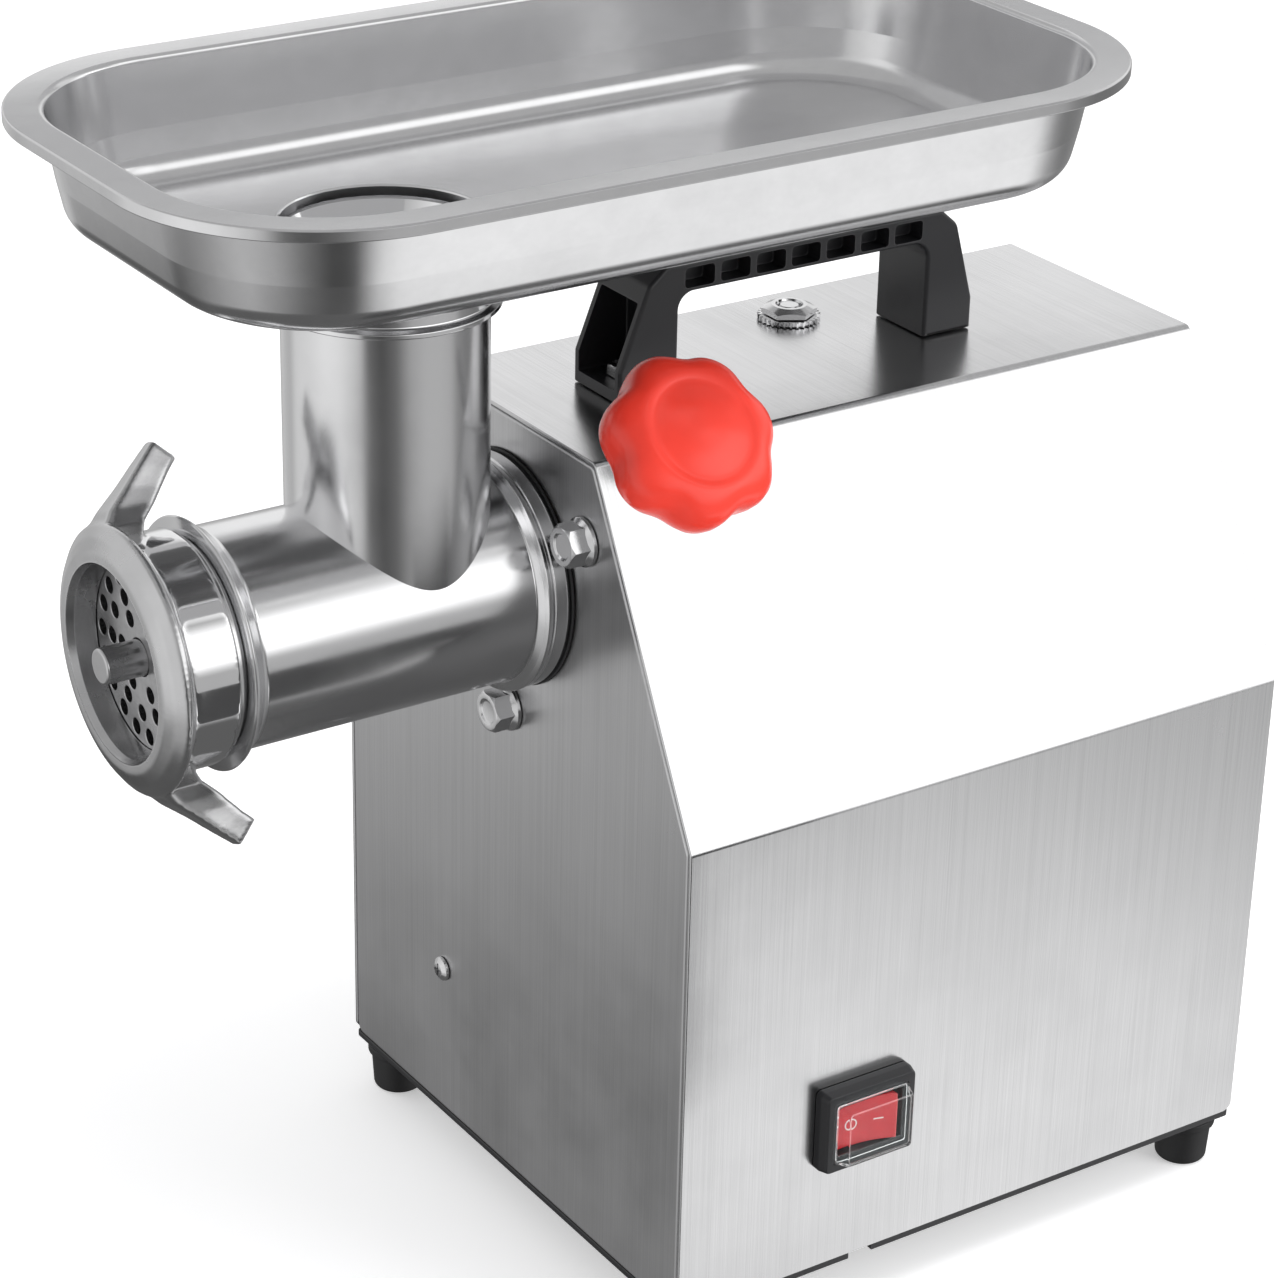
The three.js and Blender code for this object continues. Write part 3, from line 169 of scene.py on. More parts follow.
class Finish(Nodes):
    """A node material built round one Principled shader."""

    def __init__(self, name, constants):
        self.material = bpy.data.materials.new(name)
        self.material.use_nodes = True
        super().__init__(self.material.node_tree)
        self.shader = self.tree.nodes["Principled BSDF"]
        for socket, value in constants.items():
            self.shader.inputs[socket].default_value = value

    def noise(self, scale, detail=4.0, roughness=0.55):
        """Noise in the row frame, with so many features per metre along X, Y and Z."""
        place = self.add("TexCoord", {}).outputs["Object"]
        stretched = self.add("Mapping", {"Vector": place, "Scale": scale}).outputs[0]
        inputs = {"Vector": stretched, "Scale": 1.0, "Detail": detail, "Roughness": roughness}
        return self.add("TexNoise", inputs).outputs[0]

    def edges(self, radius):
        """1 along sharp edges and 0 on flat and gently curved faces."""
        rounded_normal = self.add("Bevel", {"Radius": radius}, samples=4).outputs[0]
        normal = self.add("NewGeometry", {}).outputs["Normal"]
        inputs = {0: rounded_normal, 1: normal}
        match = self.add("VectorMath", inputs, operation="DOT_PRODUCT").outputs["Value"]
        return self.spread(match, 1.0, 0.0, 0.82, 0.99)

    def colour(self, value):
        self.feed(self.shader.inputs["Base Color"], value)

    def roughness(self, value):
        self.feed(self.shader.inputs["Roughness"], value)

    def bump(self, height, distance):
        inputs = {"Height": height, "Distance": distance, "Strength": 1.0}
        self.feed(self.shader.inputs["Normal"], self.add("Bump", inputs).outputs[0])


def grey(value):
    return (value, value, value * 1.01, 1.0)


def brushed_metal(name, light, dark, grain, roughness=(0.26, 0.4), depth=6e-6):
    """Sheet metal with straight grinding marks; grain is the mark count per metre on each axis."""
    finish = Finish(name, {"Metallic": 1.0, "Anisotropic": 0.3})
    marks = finish.noise(grain, detail=6.0, roughness=0.7)
    bands = finish.noise([count / 9 for count in grain], detail=3.0)
    handling = finish.noise((14, 14, 14), detail=5.0)
    tone = finish.blend(finish.spread(marks), grey(dark), grey(light))
    softer = finish.blend(finish.spread(bands, 0, 0.35), tone, grey(light))
    finish.colour(finish.blend(finish.spread(handling, 0, 0.12), softer, grey(dark)))
    finish.roughness(finish.spread(handling, roughness[0], roughness[1]))
    finish.bump(marks, depth)
    return finish.material


def polished_metal(name, tone, roughness, ripple=2e-6, scale=900):
    """Bright metal with faint polishing marks and handling haze."""
    finish = Finish(name, {"Metallic": 1.0})
    haze = finish.noise((22, 22, 22), detail=6.0, roughness=0.6)
    marks = finish.noise((scale, scale * 0.7, scale * 0.5), detail=4.0)
    finish.colour(finish.blend(finish.spread(haze), grey(tone), grey(tone * 0.93)))
    finish.roughness(finish.spread(haze, roughness * 0.8, roughness * 1.4))
    finish.bump(marks, ripple)
    return finish.material


def cast_metal(name, tone, roughness, grain, depth):
    """A tumbled or plain casting: fine pits, cloudy tone and rubbed edges."""
    finish = Finish(name, {"Metallic": 1.0})
    pits = finish.noise((grain, grain, grain), detail=6.0, roughness=0.65)
    clouds = finish.noise((45, 45, 45), detail=5.0)
    body = finish.blend(finish.spread(clouds), grey(tone * 0.86), grey(tone))
    rubbed = grey(min(tone * 1.25, 0.9))
    finish.colour(finish.blend(finish.edges(0.0012), body, rubbed))
    finish.roughness(finish.spread(clouds, roughness * 0.85, roughness * 1.25))
    finish.bump(pits, depth)
    return finish.material


def moulded(name, base, worn, roughness, texture=1600, depth=2e-5):
    """Moulded plastic or rubber: fine texture, slight colour drift and paler edges."""
    finish = Finish(name, {"Metallic": 0.0})
    skin = finish.noise((texture, texture, texture), detail=3.0)
    drift = finish.noise((30, 30, 30), detail=5.0)
    darker = tuple(channel * 0.82 for channel in base)
    body = finish.blend(finish.spread(drift), (*darker, 1.0), (*base, 1.0))
    finish.colour(finish.blend(finish.edges(0.0008), body, (*worn, 1.0)))
    finish.roughness(finish.spread(drift, roughness * 0.88, roughness * 1.15))
    finish.bump(skin, depth)
    return finish.material


def laminated(name):
    """The edges of thin sheets stacked along Y."""
    finish = Finish(name, {"Metallic": 0.9})
    stack = finish.noise((8, 1500, 8), detail=2.0)
    finish.colour(finish.blend(finish.spread(stack), grey(0.09), grey(0.26)))
    finish.roughness(finish.spread(stack, 0.35, 0.6))
    finish.bump(stack, 8e-5)
    return finish.material


def wound(name):
    """Enamelled wire laid round the motor's axis."""
    finish = Finish(name, {"Metallic": 0.7, "Coat Weight": 0.5, "Coat Roughness": 0.15})
    wires = finish.noise((420, 1300, 420), detail=3.0)
    dark, bright = (0.26, 0.09, 0.035, 1.0), (0.62, 0.27, 0.12, 1.0)
    finish.colour(finish.blend(finish.spread(wires), dark, bright))
    finish.roughness(finish.spread(wires, 0.25, 0.5))
    finish.bump(wires, 2e-4)
    return finish.material


def clear_plastic(name):
    """Clear moulding with fine rubbing marks, and a painted highlight: its edges glow faintly pink."""
    finish = Finish(name, {"Transmission Weight": 1.0, "IOR": 1.2})
    marks = finish.noise((260, 260, 260), detail=6.0)
    tints = (0.86, 0.9, 0.9, 1.0), (0.97, 0.99, 0.99, 1.0)
    finish.colour(finish.blend(finish.spread(marks), *tints))
    finish.roughness(finish.spread(marks, 0.02, 0.05))
    finish.bump(marks, 3e-6)
    # Painted highlight: a faint pink glow along the sharp edges, as if they caught the light.
    finish.feed(finish.shader.inputs["Emission Color"], (1.0, 0.93, 0.93, 1.0))
    painted_edge_glints = finish.add("Math", {0: finish.edges(0.0005), 1: 0.45}, operation="MULTIPLY")
    finish.feed(finish.shader.inputs["Emission Strength"], painted_edge_glints.outputs[0])
    return finish.material


ALONG_Z_ACROSS_Y = (9, 2600, 9)
ALONG_Z_ACROSS_X = (2600, 9, 9)
BLACK = (0.016, 0.016, 0.018)

MATERIALS = {
    "cover": brushed_metal("brushed_cover", 0.76, 0.6, ALONG_Z_ACROSS_Y, (0.19, 0.28)),
    "panel": brushed_metal("brushed_panel", 0.66, 0.52, ALONG_Z_ACROSS_X),
    "tray_steel": brushed_metal("satin_tray", 0.77, 0.7, (90, 60, 90), (0.15, 0.22), 3e-6),
    "polished_steel": polished_metal("polished_steel", 0.82, 0.08),
    "head_steel": polished_metal("satin_polished_head", 0.79, 0.17),
    "cast_steel": cast_metal("tumbled_casting", 0.64, 0.24, grain=520, depth=2.5e-5),
    "machined_steel": brushed_metal("machined_steel", 0.6, 0.46, (500, 2400, 500), (0.2, 0.32), 1e-5),
    "zinc_plate": polished_metal("zinc_plate", 0.74, 0.16, ripple=1e-5, scale=600),
    "black_plastic": moulded("black_plastic", BLACK, (0.05, 0.05, 0.052), 0.36),
    "red_plastic": moulded("red_plastic", (0.88, 0.045, 0.025), (0.92, 0.1, 0.06), 0.24, 400, 1e-5),
    "red_rocker": moulded("red_rocker", (0.66, 0.02, 0.03), (0.85, 0.12, 0.12), 0.18, 500, 5e-6),
    "clear_cover": clear_plastic("clear_cover"),
    "rubber": moulded("rubber", (0.012, 0.012, 0.013), (0.035, 0.035, 0.037), 0.55, 1200, 4e-5),
    "black_paint": moulded("black_enamel", (0.014, 0.014, 0.016), (0.05, 0.05, 0.055), 0.33, 900, 3e-5),
    "cast_aluminium": cast_metal("cast_aluminium", 0.5, 0.45, grain=420, depth=1.2e-4),
    "lamination": laminated("laminations"),
    "copper": wound("enamelled_copper"),
    "bronze": polished_metal("sintered_bronze", 0.5, 0.35, ripple=6e-5, scale=1400),
    "insulation": moulded("insulation", (0.018, 0.018, 0.02), (0.05, 0.05, 0.05), 0.3),
    "mark": moulded("pale_mark", (0.86, 0.7, 0.68), (0.9, 0.8, 0.78), 0.35),
}

# ---- outlines and meshes


def rounded(corners, closed=True, step=10.0):
    """The polyline through corners of (x, y[, radius]), with an arc at each one with a radius."""
    path = []
    for i, corner in enumerate(corners):
        here = Vector(corner[:2])
        radius = corner[2] if len(corner) > 2 else 0.0
        if radius == 0.0 or (not closed and i in (0, len(corners) - 1)):
            path.append(here)
            continue
        before = Vector(corners[i - 1][:2]) - here
        after = Vector(corners[(i + 1) % len(corners)][:2]) - here
        half = before.angle(after) / 2
        reach = min(radius / math.tan(half), 0.49 * before.length, 0.49 * after.length)
        to_before, to_after = before.normalized(), after.normalized()
        centre = here + (to_before + to_after).normalized() * (reach / math.cos(half))
        start = here + to_before * reach - centre
        end = here + to_after * reach - centre
        turn = math.pi - 2 * half
        steps = max(2, math.ceil(math.degrees(turn) / step))
        for k in range(steps + 1):
            share = k / steps
            mix = start * math.sin((1 - share) * turn) + end * math.sin(share * turn)
            path.append(centre + mix / math.sin(turn))
    return path


def circle(x, y, radius, count):
    angles = [2 * math.pi * i / count for i in range(count)]
    return [Vector((x + radius * math.cos(a), y + radius * math.sin(a))) for a in angles]


def rounded_rectangle(x0, x1, y0, y1, radius, step=10.0):
    corners = [(x1, y0, radius), (x1, y1, radius), (x0, y1, radius), (x0, y0, radius)]
    return rounded(corners, step=step)


def along_y(x=0.0, z=AXIS_Z):
    return lambda a, b, h: Vector((x + a, h, z + b))


def along_z(x, y):
    return lambda a, b, h: Vector((x + a, y + b, h))


def along_x(a, b, h):
    """A YZ outline pushed along X."""
    return Vector((h, a, b))


def along_clamp(a, b, h):
    """Round the clamp screw, with h measured from the barrel axis."""
    across = Vector((-CLAMP_DIRECTION.z, 0.0, CLAMP_DIRECTION.x))
    base = Vector((0.0, CLAMP_POINT.y, AXIS_Z))
    return base + CLAMP_DIRECTION * h + across * a + Vector((0.0, 1.0, 0.0)) * b


def tidy(mesh, distance=1e-4):
    """Merges double vertices and turns the faces outwards."""
    work = bmesh.new()
    work.from_mesh(mesh)
    bmesh.ops.remove_doubles(work, verts=work.verts, dist=distance)
    bmesh.ops.dissolve_degenerate(work, dist=distance, edges=work.edges)
    bmesh.ops.recalc_face_normals(work, faces=work.faces)
    work.to_mesh(mesh)
    work.free()
    return mesh


def loft(rings, closed=False):
    """A skin over rings of equal point counts, capped at both ends unless it closes on itself."""
    count = len(rings[0])
    vertices = [tuple(point) for ring in rings for point in ring]
    faces = []
    last = len(rings) if closed else len(rings) - 1
    for i in range(last):
        here, following = i * count, (i + 1) % len(rings) * count
        for j in range(count):
            k = (j + 1) % count
            faces.append((here + j, here + k, following + k, following + j))
    if not closed:
        faces.append(tuple(range(count)))
        faces.append(tuple(range(len(vertices) - count, len(vertices))))
    mesh = bpy.data.meshes.new("loft")
    mesh.from_pydata(vertices, [], faces)
    return tidy(mesh)


def lathe(corners, place, sides=ROUND):
    """A turned piece from corners of (radius, distance along the axis[, fillet])."""
    on_axis = corners[0][0] == 0
    path = rounded(corners, closed=not on_axis)
    ring_of = [circle(0, 0, max(point.x, 1e-6), sides) for point in path]
    rings = [[place(p.x, p.y, point.y) for p in ring] for ring, point in zip(ring_of, path)]
    return loft(rings, closed=not on_axis)


def slab(loops, place, start, end, edge=0.4, steps=2):
    """A plate between two distances: the first loop is its outline and the others are holes."""
    curve = bpy.data.curves.new("slab", "CURVE")
    curve.dimensions = "2D"
    curve.fill_mode = "BOTH"
    curve.extrude = (end - start) / 2 - edge
    curve.bevel_depth = edge
    curve.bevel_resolution = steps
    curve.offset = -edge
    for loop in loops:
        spline = curve.splines.new("POLY")
        spline.points.add(len(loop) - 1)
        for target, point in zip(spline.points, loop):
            target.co = (point[0], point[1], 0.0, 1.0)
        spline.use_cyclic_u = True
    holder = bpy.data.objects.new("slab", curve)
    mesh = bpy.data.meshes.new_from_object(holder)
    for vertex in mesh.vertices:
        a, b, h = vertex.co
        vertex.co = place(a, b, h + (start + end) / 2)
    bpy.data.objects.remove(holder)
    return tidy(mesh)


def block(x, y, z):
    outline = [(x[0], y[0]), (x[1], y[0]), (x[1], y[1]), (x[0], y[1])]
    return loft([[Vector((a, b, c)) for a, b in outline] for c in z])


def new_object(name, data):
    """A new object, linked to the scene."""
    made = bpy.data.objects.new(name, data)
    bpy.context.scene.collection.objects.link(made)
    return made


def combine(mesh, operation, *others):
    """The exact union, difference or intersection of a mesh with others."""
    holders = [new_object("scratch", data) for data in (mesh, *others)]
    for other in holders[1:]:
        modifier = holders[0].modifiers.new("boolean", "BOOLEAN")
        modifier.object = other
        modifier.operation = operation
        modifier.solver = "EXACT"
    evaluated = holders[0].evaluated_get(bpy.context.evaluated_depsgraph_get())
    result = bpy.data.meshes.new_from_object(evaluated)
    for holder in holders:
        bpy.data.objects.remove(holder)
    return tidy(result)


def soften(mesh, width, angle):
    """Rounds the edges where faces meet at more than the angle, in degrees."""
    work = bmesh.new()
    work.from_mesh(mesh)
    flat = math.radians(0.3)
    bmesh.ops.dissolve_limit(work, angle_limit=flat, verts=work.verts, edges=work.edges)
    limit = math.radians(angle)
    sharp = [e for e in work.edges if len(e.link_faces) == 2 and e.calc_face_angle(0.0) > limit]
    bmesh.ops.bevel(
        work, geom=sharp, offset=width, offset_type="OFFSET", segments=2,
        profile=0.5, affect="EDGES", clamp_overlap=True,
    )
    work.to_mesh(mesh)
    work.free()
    return mesh


def joined(*meshes):
    """Several separate closed shells in one mesh."""
    work = bmesh.new()
    for mesh in meshes:
        work.from_mesh(mesh)
    result = bpy.data.meshes.new("joined")
    work.to_mesh(result)
    work.free()
    return result


def show(name, mesh, material, body, sharp=35.0):
    """Makes a piece of the object from a mesh in layout millimetres."""
    mesh.transform(Matrix.Translation(ORIGIN) @ Matrix.Scale(MM, 4))
    mesh.materials.clear()
    mesh.materials.append(MATERIALS[material])
    if not mesh.has_custom_normals:
        mesh.shade_smooth()
        mesh.set_sharp_from_angle(angle=math.radians(sharp))
    piece = new_object(name, mesh)
    if not mesh.has_custom_normals:
        flatten = piece.modifiers.new("flat_faces_stay_flat", "WEIGHTED_NORMAL")
        flatten.keep_sharp = True
    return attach(piece, body)


def stand_in(node, mesh, material=None, sharp=35.0):
    """Shows a finer mesh in place of a CAD node, with that node's body and slot."""
    piece = show(node + "_fine", mesh, material or SLOT_OF[node], BODY_OF[node], sharp)
    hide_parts(node)
    return piece


# ---- body shell

SLOPE = Vector((ROOF_HALF_WIDTH - HALF_WIDTH, ROOF_Z - FOLD_Z)).normalized()
PANEL_DEPTH = 12
FLANGE_HOLE_R = 4.2
STUD_HOLE_R = 4.2
HANDLE_HOLE_R = 3.2
SCREW_HOLE_R = 6.5
EARTH_HOLE_R = 2.2
GLAND_HOLE_R = 9.8


def section_corners(inset, bottom, radius, low_radius=0.0):
    """The body's cross-section, moved inwards from its outer skin."""
    side = HALF_WIDTH - inset
    roof = ROOF_Z - inset
    roof_x = HALF_WIDTH + (roof - FOLD_Z) * SLOPE.x / SLOPE.y - inset / SLOPE.y
    fold_z = FOLD_Z + (inset / SLOPE.y - inset) * SLOPE.y / SLOPE.x
    right = [(side, bottom, low_radius), (side, fold_z, radius), (roof_x, roof, radius)]
    return right + [(-x, z, r) for x, z, r in reversed(right)]


def drill(radius, place, start, end):
    return lathe([(0, start), (radius, start), (radius, end), (0, end)], place, SMALL_ROUND)


FLANGE_BOLTS = [f"flange_bolt_{i}" for i in (1, 2, 3)]
HANDLE_BOLTS = ["handle_bolt_front", "handle_bolt_rear"]


def housing_cover():
    outer = rounded(section_corners(0, WALL_BOTTOM, FOLD_RADIUS), closed=False, step=6)
    inner = rounded(section_corners(SHEET, WALL_BOTTOM, FOLD_RADIUS - SHEET), closed=False, step=6)
    shell = slab([outer + inner[::-1]], along_y(z=0), 0, LENGTH, 0.45, 3)
    side_view = rounded([
        (0, WALL_BOTTOM, CORNER_RADIUS), (LENGTH, WALL_BOTTOM, CORNER_RADIUS),
        (LENGTH, ROOF_Z + 5), (0, ROOF_Z + 5),
    ])
    trim = slab([side_view], along_x, -HALF_WIDTH - 5, HALF_WIDTH + 5, 0.01)
    shell = combine(shell, "INTERSECT", trim)
    stud = middle("tie_stud")
    holes = [drill(HANDLE_HOLE_R, along_z(0, middle(bolt).y), 300, 320) for bolt in HANDLE_BOLTS]
    holes.append(drill(STUD_HOLE_R, along_z(stud.x, stud.y), 300, 320))
    holes.append(drill(SCREW_HOLE_R, along_clamp, 60, 80))
    switch, half_y, half_z = middle("switch_bezel"), 15.3, 11.8
    cutout = block(
        (100, 120), (switch.y - half_y, switch.y + half_y), (switch.z - half_z, switch.z + half_z),
    )
    return combine(shell, "DIFFERENCE", cutout, *holes)


def end_panel(start, end, hollow_start, hollow_end, holes):
    """A pan with rolled edges and holes through its face."""
    clear = SHEET + GAP
    pan = rounded(section_corners(clear, WALL_BOTTOM, 2.5, CORNER_RADIUS))
    hollow = rounded(section_corners(clear + SHEET, WALL_BOTTOM + SHEET, 1.0, CORNER_RADIUS - SHEET))
    body = slab([pan], along_y(z=0), start, end, 1.1, 4)
    return combine(body, "DIFFERENCE", slab([hollow], along_y(z=0), hollow_start, hollow_end, 0.3), *holes)


def front_panel():
    holes = [drill(SHANK_R + 0.6, along_y(), -1, 5)]
    for node in FLANGE_BOLTS:
        bolt = middle(node)
        holes.append(drill(FLANGE_HOLE_R, along_y(bolt.x, bolt.z), -1, 5))
    screw = middle("earth_screw")
    holes.append(drill(EARTH_HOLE_R, along_y(screw.x, screw.z), -1, 5))
    return end_panel(0, PANEL_DEPTH, SHEET, PANEL_DEPTH + 1, holes)


def rear_panel():
    gland = middle("cable_gland")
    holes = [drill(GLAND_HOLE_R, along_y(gland.x, gland.z), 240, 260)]
    rows, pitch, height, half, centre, bottom = 8, 11, 5, 29, 42, 112
    for row in range(rows):
        z = bottom + row * pitch
        for x in (-centre, centre):
            vent = rounded_rectangle(x - half, x + half, z, z + height, height / 2)
            holes.append(slab([vent], along_y(z=0), LENGTH - 8, LENGTH + 8, 0.1))
    inner_face = LENGTH - PANEL_DEPTH
    return end_panel(inner_face, LENGTH, inner_face - 1, LENGTH - SHEET, holes)


def base_plate():
    low, high = box("base_plate")
    notch_y, notch_r = 77, 5
    notch = [(high.x, notch_y - notch_r), (high.x - notch_r, notch_y - notch_r, 4.9)]
    notch += [(high.x - notch_r, notch_y + notch_r, 4.9), (high.x, notch_y + notch_r)]
    outline = [(low.x, low.y, 2), (high.x, low.y, 2), *notch, (high.x, high.y, 2), (low.x, high.y, 2)]
    loops = [rounded(outline)]
    slots, first_slot, pitch, width, half_length = 6, 110, 16, 5, 36
    for i in range(slots):
        y = first_slot + i * pitch
        loops.append(rounded_rectangle(-half_length, half_length, y, y + width, 2.4))
    return slab(loops, along_z(0, 0), low.z, high.z, 0.35)


def foot(node):
    centre, high = middle(node), box(node)[1]
    radius = high.x - centre.x
    profile = [
        (0, 5), (4, 5, 0.5), (4, 0, 0.6), (9.4, 0, 2.2), (radius - 1.4, 14.6, 0.6), (radius - 0.1, 15.4, 0.7),
        (radius - 0.1, high.z, 0.8), (0, high.z),
    ]
    return lathe(profile, along_z(centre.x, centre.y), SMALL_ROUND)


def build_shell():
    stand_in("housing_cover", housing_cover(), "cover", 25)
    stand_in("front_panel", front_panel(), "panel")
    stand_in("rear_panel", rear_panel(), "panel")
    stand_in("base_plate", base_plate())
    for node in ("foot_front_right", "foot_front_left", "foot_rear_right", "foot_rear_left"):
        stand_in(node, foot(node))


# ---- fasteners


def hexagon(across):
    return circle(0, 0, across / math.sqrt(3), 6)


def hex_head(across, height, place):
    """A hexagon head whose outer face, at 0, has a turned chamfer and a shallow dish."""
    corner = across / math.sqrt(3)
    prism = slab([hexagon(across)], place, 0, height, 0.15)
    cone = lathe([
        (0, 0.7), (corner * 0.52, 0.7, 1.0), (corner * 0.62, 0, 0.3), (corner * 0.86, 0, 0.4),
        (corner + 1, 2.1), (corner + 1, height + 1), (0, height + 1),
    ], place)
    return combine(prism, "INTERSECT", cone)


def flange_bolt(node):
    centre, front = middle(node), box(node)[0].y
    place = along_y(centre.x, centre.z)
    across, height = 13, 6.7
    head = hex_head(across, height, lambda a, b, h: place(a, b, front + h))
    skirt = lathe([
        (0, -2.9), (6.6, -2.9, 0.8), (8.3, -1.5, 0.3), (8.5, -GAP, 0.3), (3.9, -GAP), (3.9, 15, 0.8), (0, 15),
    ], place, SMALL_ROUND)
    return combine(head, "UNION", skirt)


def handle_bolt(node):
    centre, (low, high) = middle(node), box(node)
    across, height = 10, 4
    head = hex_head(across, height, lambda a, b, h: Vector((centre.x + a, centre.y + b, high.z - h)))
    shank = lathe([(0, high.z - 3.5), (2.9, high.z - 3.5), (2.9, low.z, 0.6), (0, low.z)],
                  along_z(centre.x, centre.y), SMALL_ROUND)
    return combine(head, "UNION", shank)


def earth_screw():
    centre = middle("earth_screw")
    profile = [
        (0, -2.6), (2.6, -2.5, 0.8), (4.4, -1.3, 0.9), (4.6, -GAP, 0.2), (1.9, -GAP), (1.9, 9, 0.4), (0, 9),
    ]
    head = lathe(profile, along_y(centre.x, centre.z), SMALL_ROUND)
    arms = [(2.6, 0.5), (0.5, 2.6)]
    slots = [block((centre.x - x, centre.x + x), (-4, -1.4), (centre.z - z, centre.z + z)) for x, z in arms]
    return combine(head, "DIFFERENCE", *slots)


def top_nut():
    centre, (low, high) = middle("top_nut"), box("top_nut")
    place = along_z(centre.x, centre.y)
    across = 17
    prism = slab([hexagon(across)], place, low.z, high.z, 0.2)
    cone = lathe([
        (0, low.z - 1), (11, low.z - 1), (11, low.z + 1, 0.3), (6.2, high.z, 0.4), (0, high.z),
    ], place)
    head = combine(prism, "INTERSECT", cone)
    hole = [(0, low.z - 2), (4.2, low.z - 2), (4.2, high.z - 1.4), (5.4, high.z + 1), (0, high.z + 1)]
    return combine(head, "DIFFERENCE", lathe(hole, place, SMALL_ROUND))


def top_washer():
    """A shakeproof washer with teeth round its edge."""
    centre, (low, high) = middle("top_washer"), box("top_washer")
    points = 4 * 30                # four to a tooth
    roots, crests = (circle(0, 0, radius, points) for radius in (10.0, 11.1))
    outline = [crests[i] if i % 4 in (1, 2) else roots[i] for i in range(points)]
    loops = [outline, circle(0, 0, STUD_HOLE_R, SMALL_ROUND)]
    return slab(loops, along_z(centre.x, centre.y), low.z, high.z, 0.15)


def threaded(radius, start, end, pitch, place):
    """A stud with rings for its thread crests."""
    profile = [(0, start), (radius - 0.7, start, 0.2), (radius, start + 0.8)]
    turns = int((end - start - 1.6) / pitch)
    for i in range(turns):
        at = start + 0.8 + i * pitch
        profile += [(radius - 0.45, at + pitch / 2), (radius, at + pitch)]
    profile += [(radius - 0.7, end, 0.2), (0, end)]
    return lathe(profile, place, 48)


def build_fasteners():
    for node in FLANGE_BOLTS:
        stand_in(node, flange_bolt(node))
    for node in HANDLE_BOLTS:
        stand_in(node, handle_bolt(node))
    stand_in("earth_screw", earth_screw())
    stand_in("top_nut", top_nut())
    stand_in("top_washer", top_washer())
    centre, (low, high) = middle("tie_stud"), box("tie_stud")
    stand_in("tie_stud", threaded(3.9, low.z, high.z, 1.25, along_z(centre.x, centre.y)))
    stand_in("clamp_screw", threaded(4.9, SHANK_R + 0.4, 100, 1.5, along_clamp))


# ---- carrying handle


def carry_handle():
    low, high = box("carry_handle")
    kink, shoulder, underside = 324, 352, 347.5
    inner_front, inner_back = 56, 158.5
    outline = rounded([
        (low.y, low.z, 0.6), (inner_front, low.z, 0.6), (inner_front, underside, 6),
        (inner_back, underside, 6), (inner_back, low.z, 0.6), (high.y, low.z, 0.6),
        (high.y, kink, 1.5), (high.y - 8, shoulder, 5), (high.y - 15, high.z, 4),
        (low.y + 18, high.z, 3.5), (low.y + 11, shoulder, 4), (low.y, kink, 1.5),
    ])
    bar = slab([outline], along_x, low.x, high.x, 1.4, 4)
    pocket_half = high.x - 3
    pockets = [
        slab([rounded_rectangle(y0, y1, 317, 346, 2.5)], along_x, -pocket_half, pocket_half, 0.8)
        for y0, y1 in ((20, inner_front - 4), (inner_back + 4, 190))
    ]
    slots = []
    slots_each_side, first_slot, pitch, slot_length = 7, 58, 14.3, 11.8
    for i in range(slots_each_side):
        y = first_slot + pitch * i
        outline = rounded_rectangle(y, y + slot_length, underside + 1.5, high.z - 2, 1.4)
        slots.append(slab([outline], along_x, 7, 21, 0.4))
        slots.append(slab([outline], along_x, -21, -7, 0.4))
    holes = [drill(HANDLE_HOLE_R, along_z(0, middle(bolt).y), 300, 330) for bolt in HANDLE_BOLTS]
    return soften(combine(bar, "DIFFERENCE", *pockets, *slots, *holes), 0.3, 50)


# ---- switch

SWITCH = middle("switch_bezel")


def switch_ring(x, half_y, half_z, radius):
    outline = rounded_rectangle(-half_y, half_y, -half_z, half_z, radius, 15)
    return [Vector((x, SWITCH.y + p.x, SWITCH.z + p.y)) for p in outline]


def switch_bezel():
    low, high = box("switch_bezel")
    wall, front = HALF_WIDTH + GAP, high.x
    levels = [
        (low.x, 15, 11.5, 0.5), (wall, 15, 11.5, 0.5), (wall, 19.2, 15.6, 2), (wall + 2.4, 19.2, 15.6, 2),
        (wall + 2.8, 19.1, 15.5, 2), (front - 0.7, 18.4, 15.1, 1.8), (front - 0.2, 18.1, 14.9, 1.6),
        (front, 17.7, 14.5, 1.4), (front, 15.6, 12.1, 1.2), (front - 0.3, 15.3, 11.8, 1.0),
        (front - 0.5, 13.5, 9.7, 0.8), (front - 0.8, 13.2, 9.4, 0.6), (95, 13.2, 9.4, 0.6),
    ]
    return loft([switch_ring(*level) for level in levels])


ROCKER_HALF = 11.3
ROCKER_HALF_WIDTH = 8.7
ROCKER_TILT = math.radians(9)


def rocker_place(a, b, h):
    """Along the rocker, out of it, and up, from the outline to the layout frame."""
    pivot = millimetres(JOINTS["rocker_tilt"]["pos_m"])
    along = Vector((-math.sin(ROCKER_TILT), -math.cos(ROCKER_TILT), 0.0))
    out = Vector((math.cos(ROCKER_TILT), -math.sin(ROCKER_TILT), 0.0))
    return pivot + along * a + out * b + Vector((0.0, 0.0, h))


def rocker_face(a):
    """How far the rocker's dished face stands out, at a distance along it."""
    share = (ROCKER_HALF - a) / (2 * ROCKER_HALF)
    return 6.5 - 6 * share * (1 - share)


def switch_rocker():
    stations = [ROCKER_HALF * (1 - i / 10) for i in range(21)]
    face = [Vector((a, rocker_face(a))) for a in stations]
    outline = [Vector((-9, -4)), Vector((9, -4)), *face]
    return slab([outline], rocker_place, -ROCKER_HALF_WIDTH, ROCKER_HALF_WIDTH, 0.5)


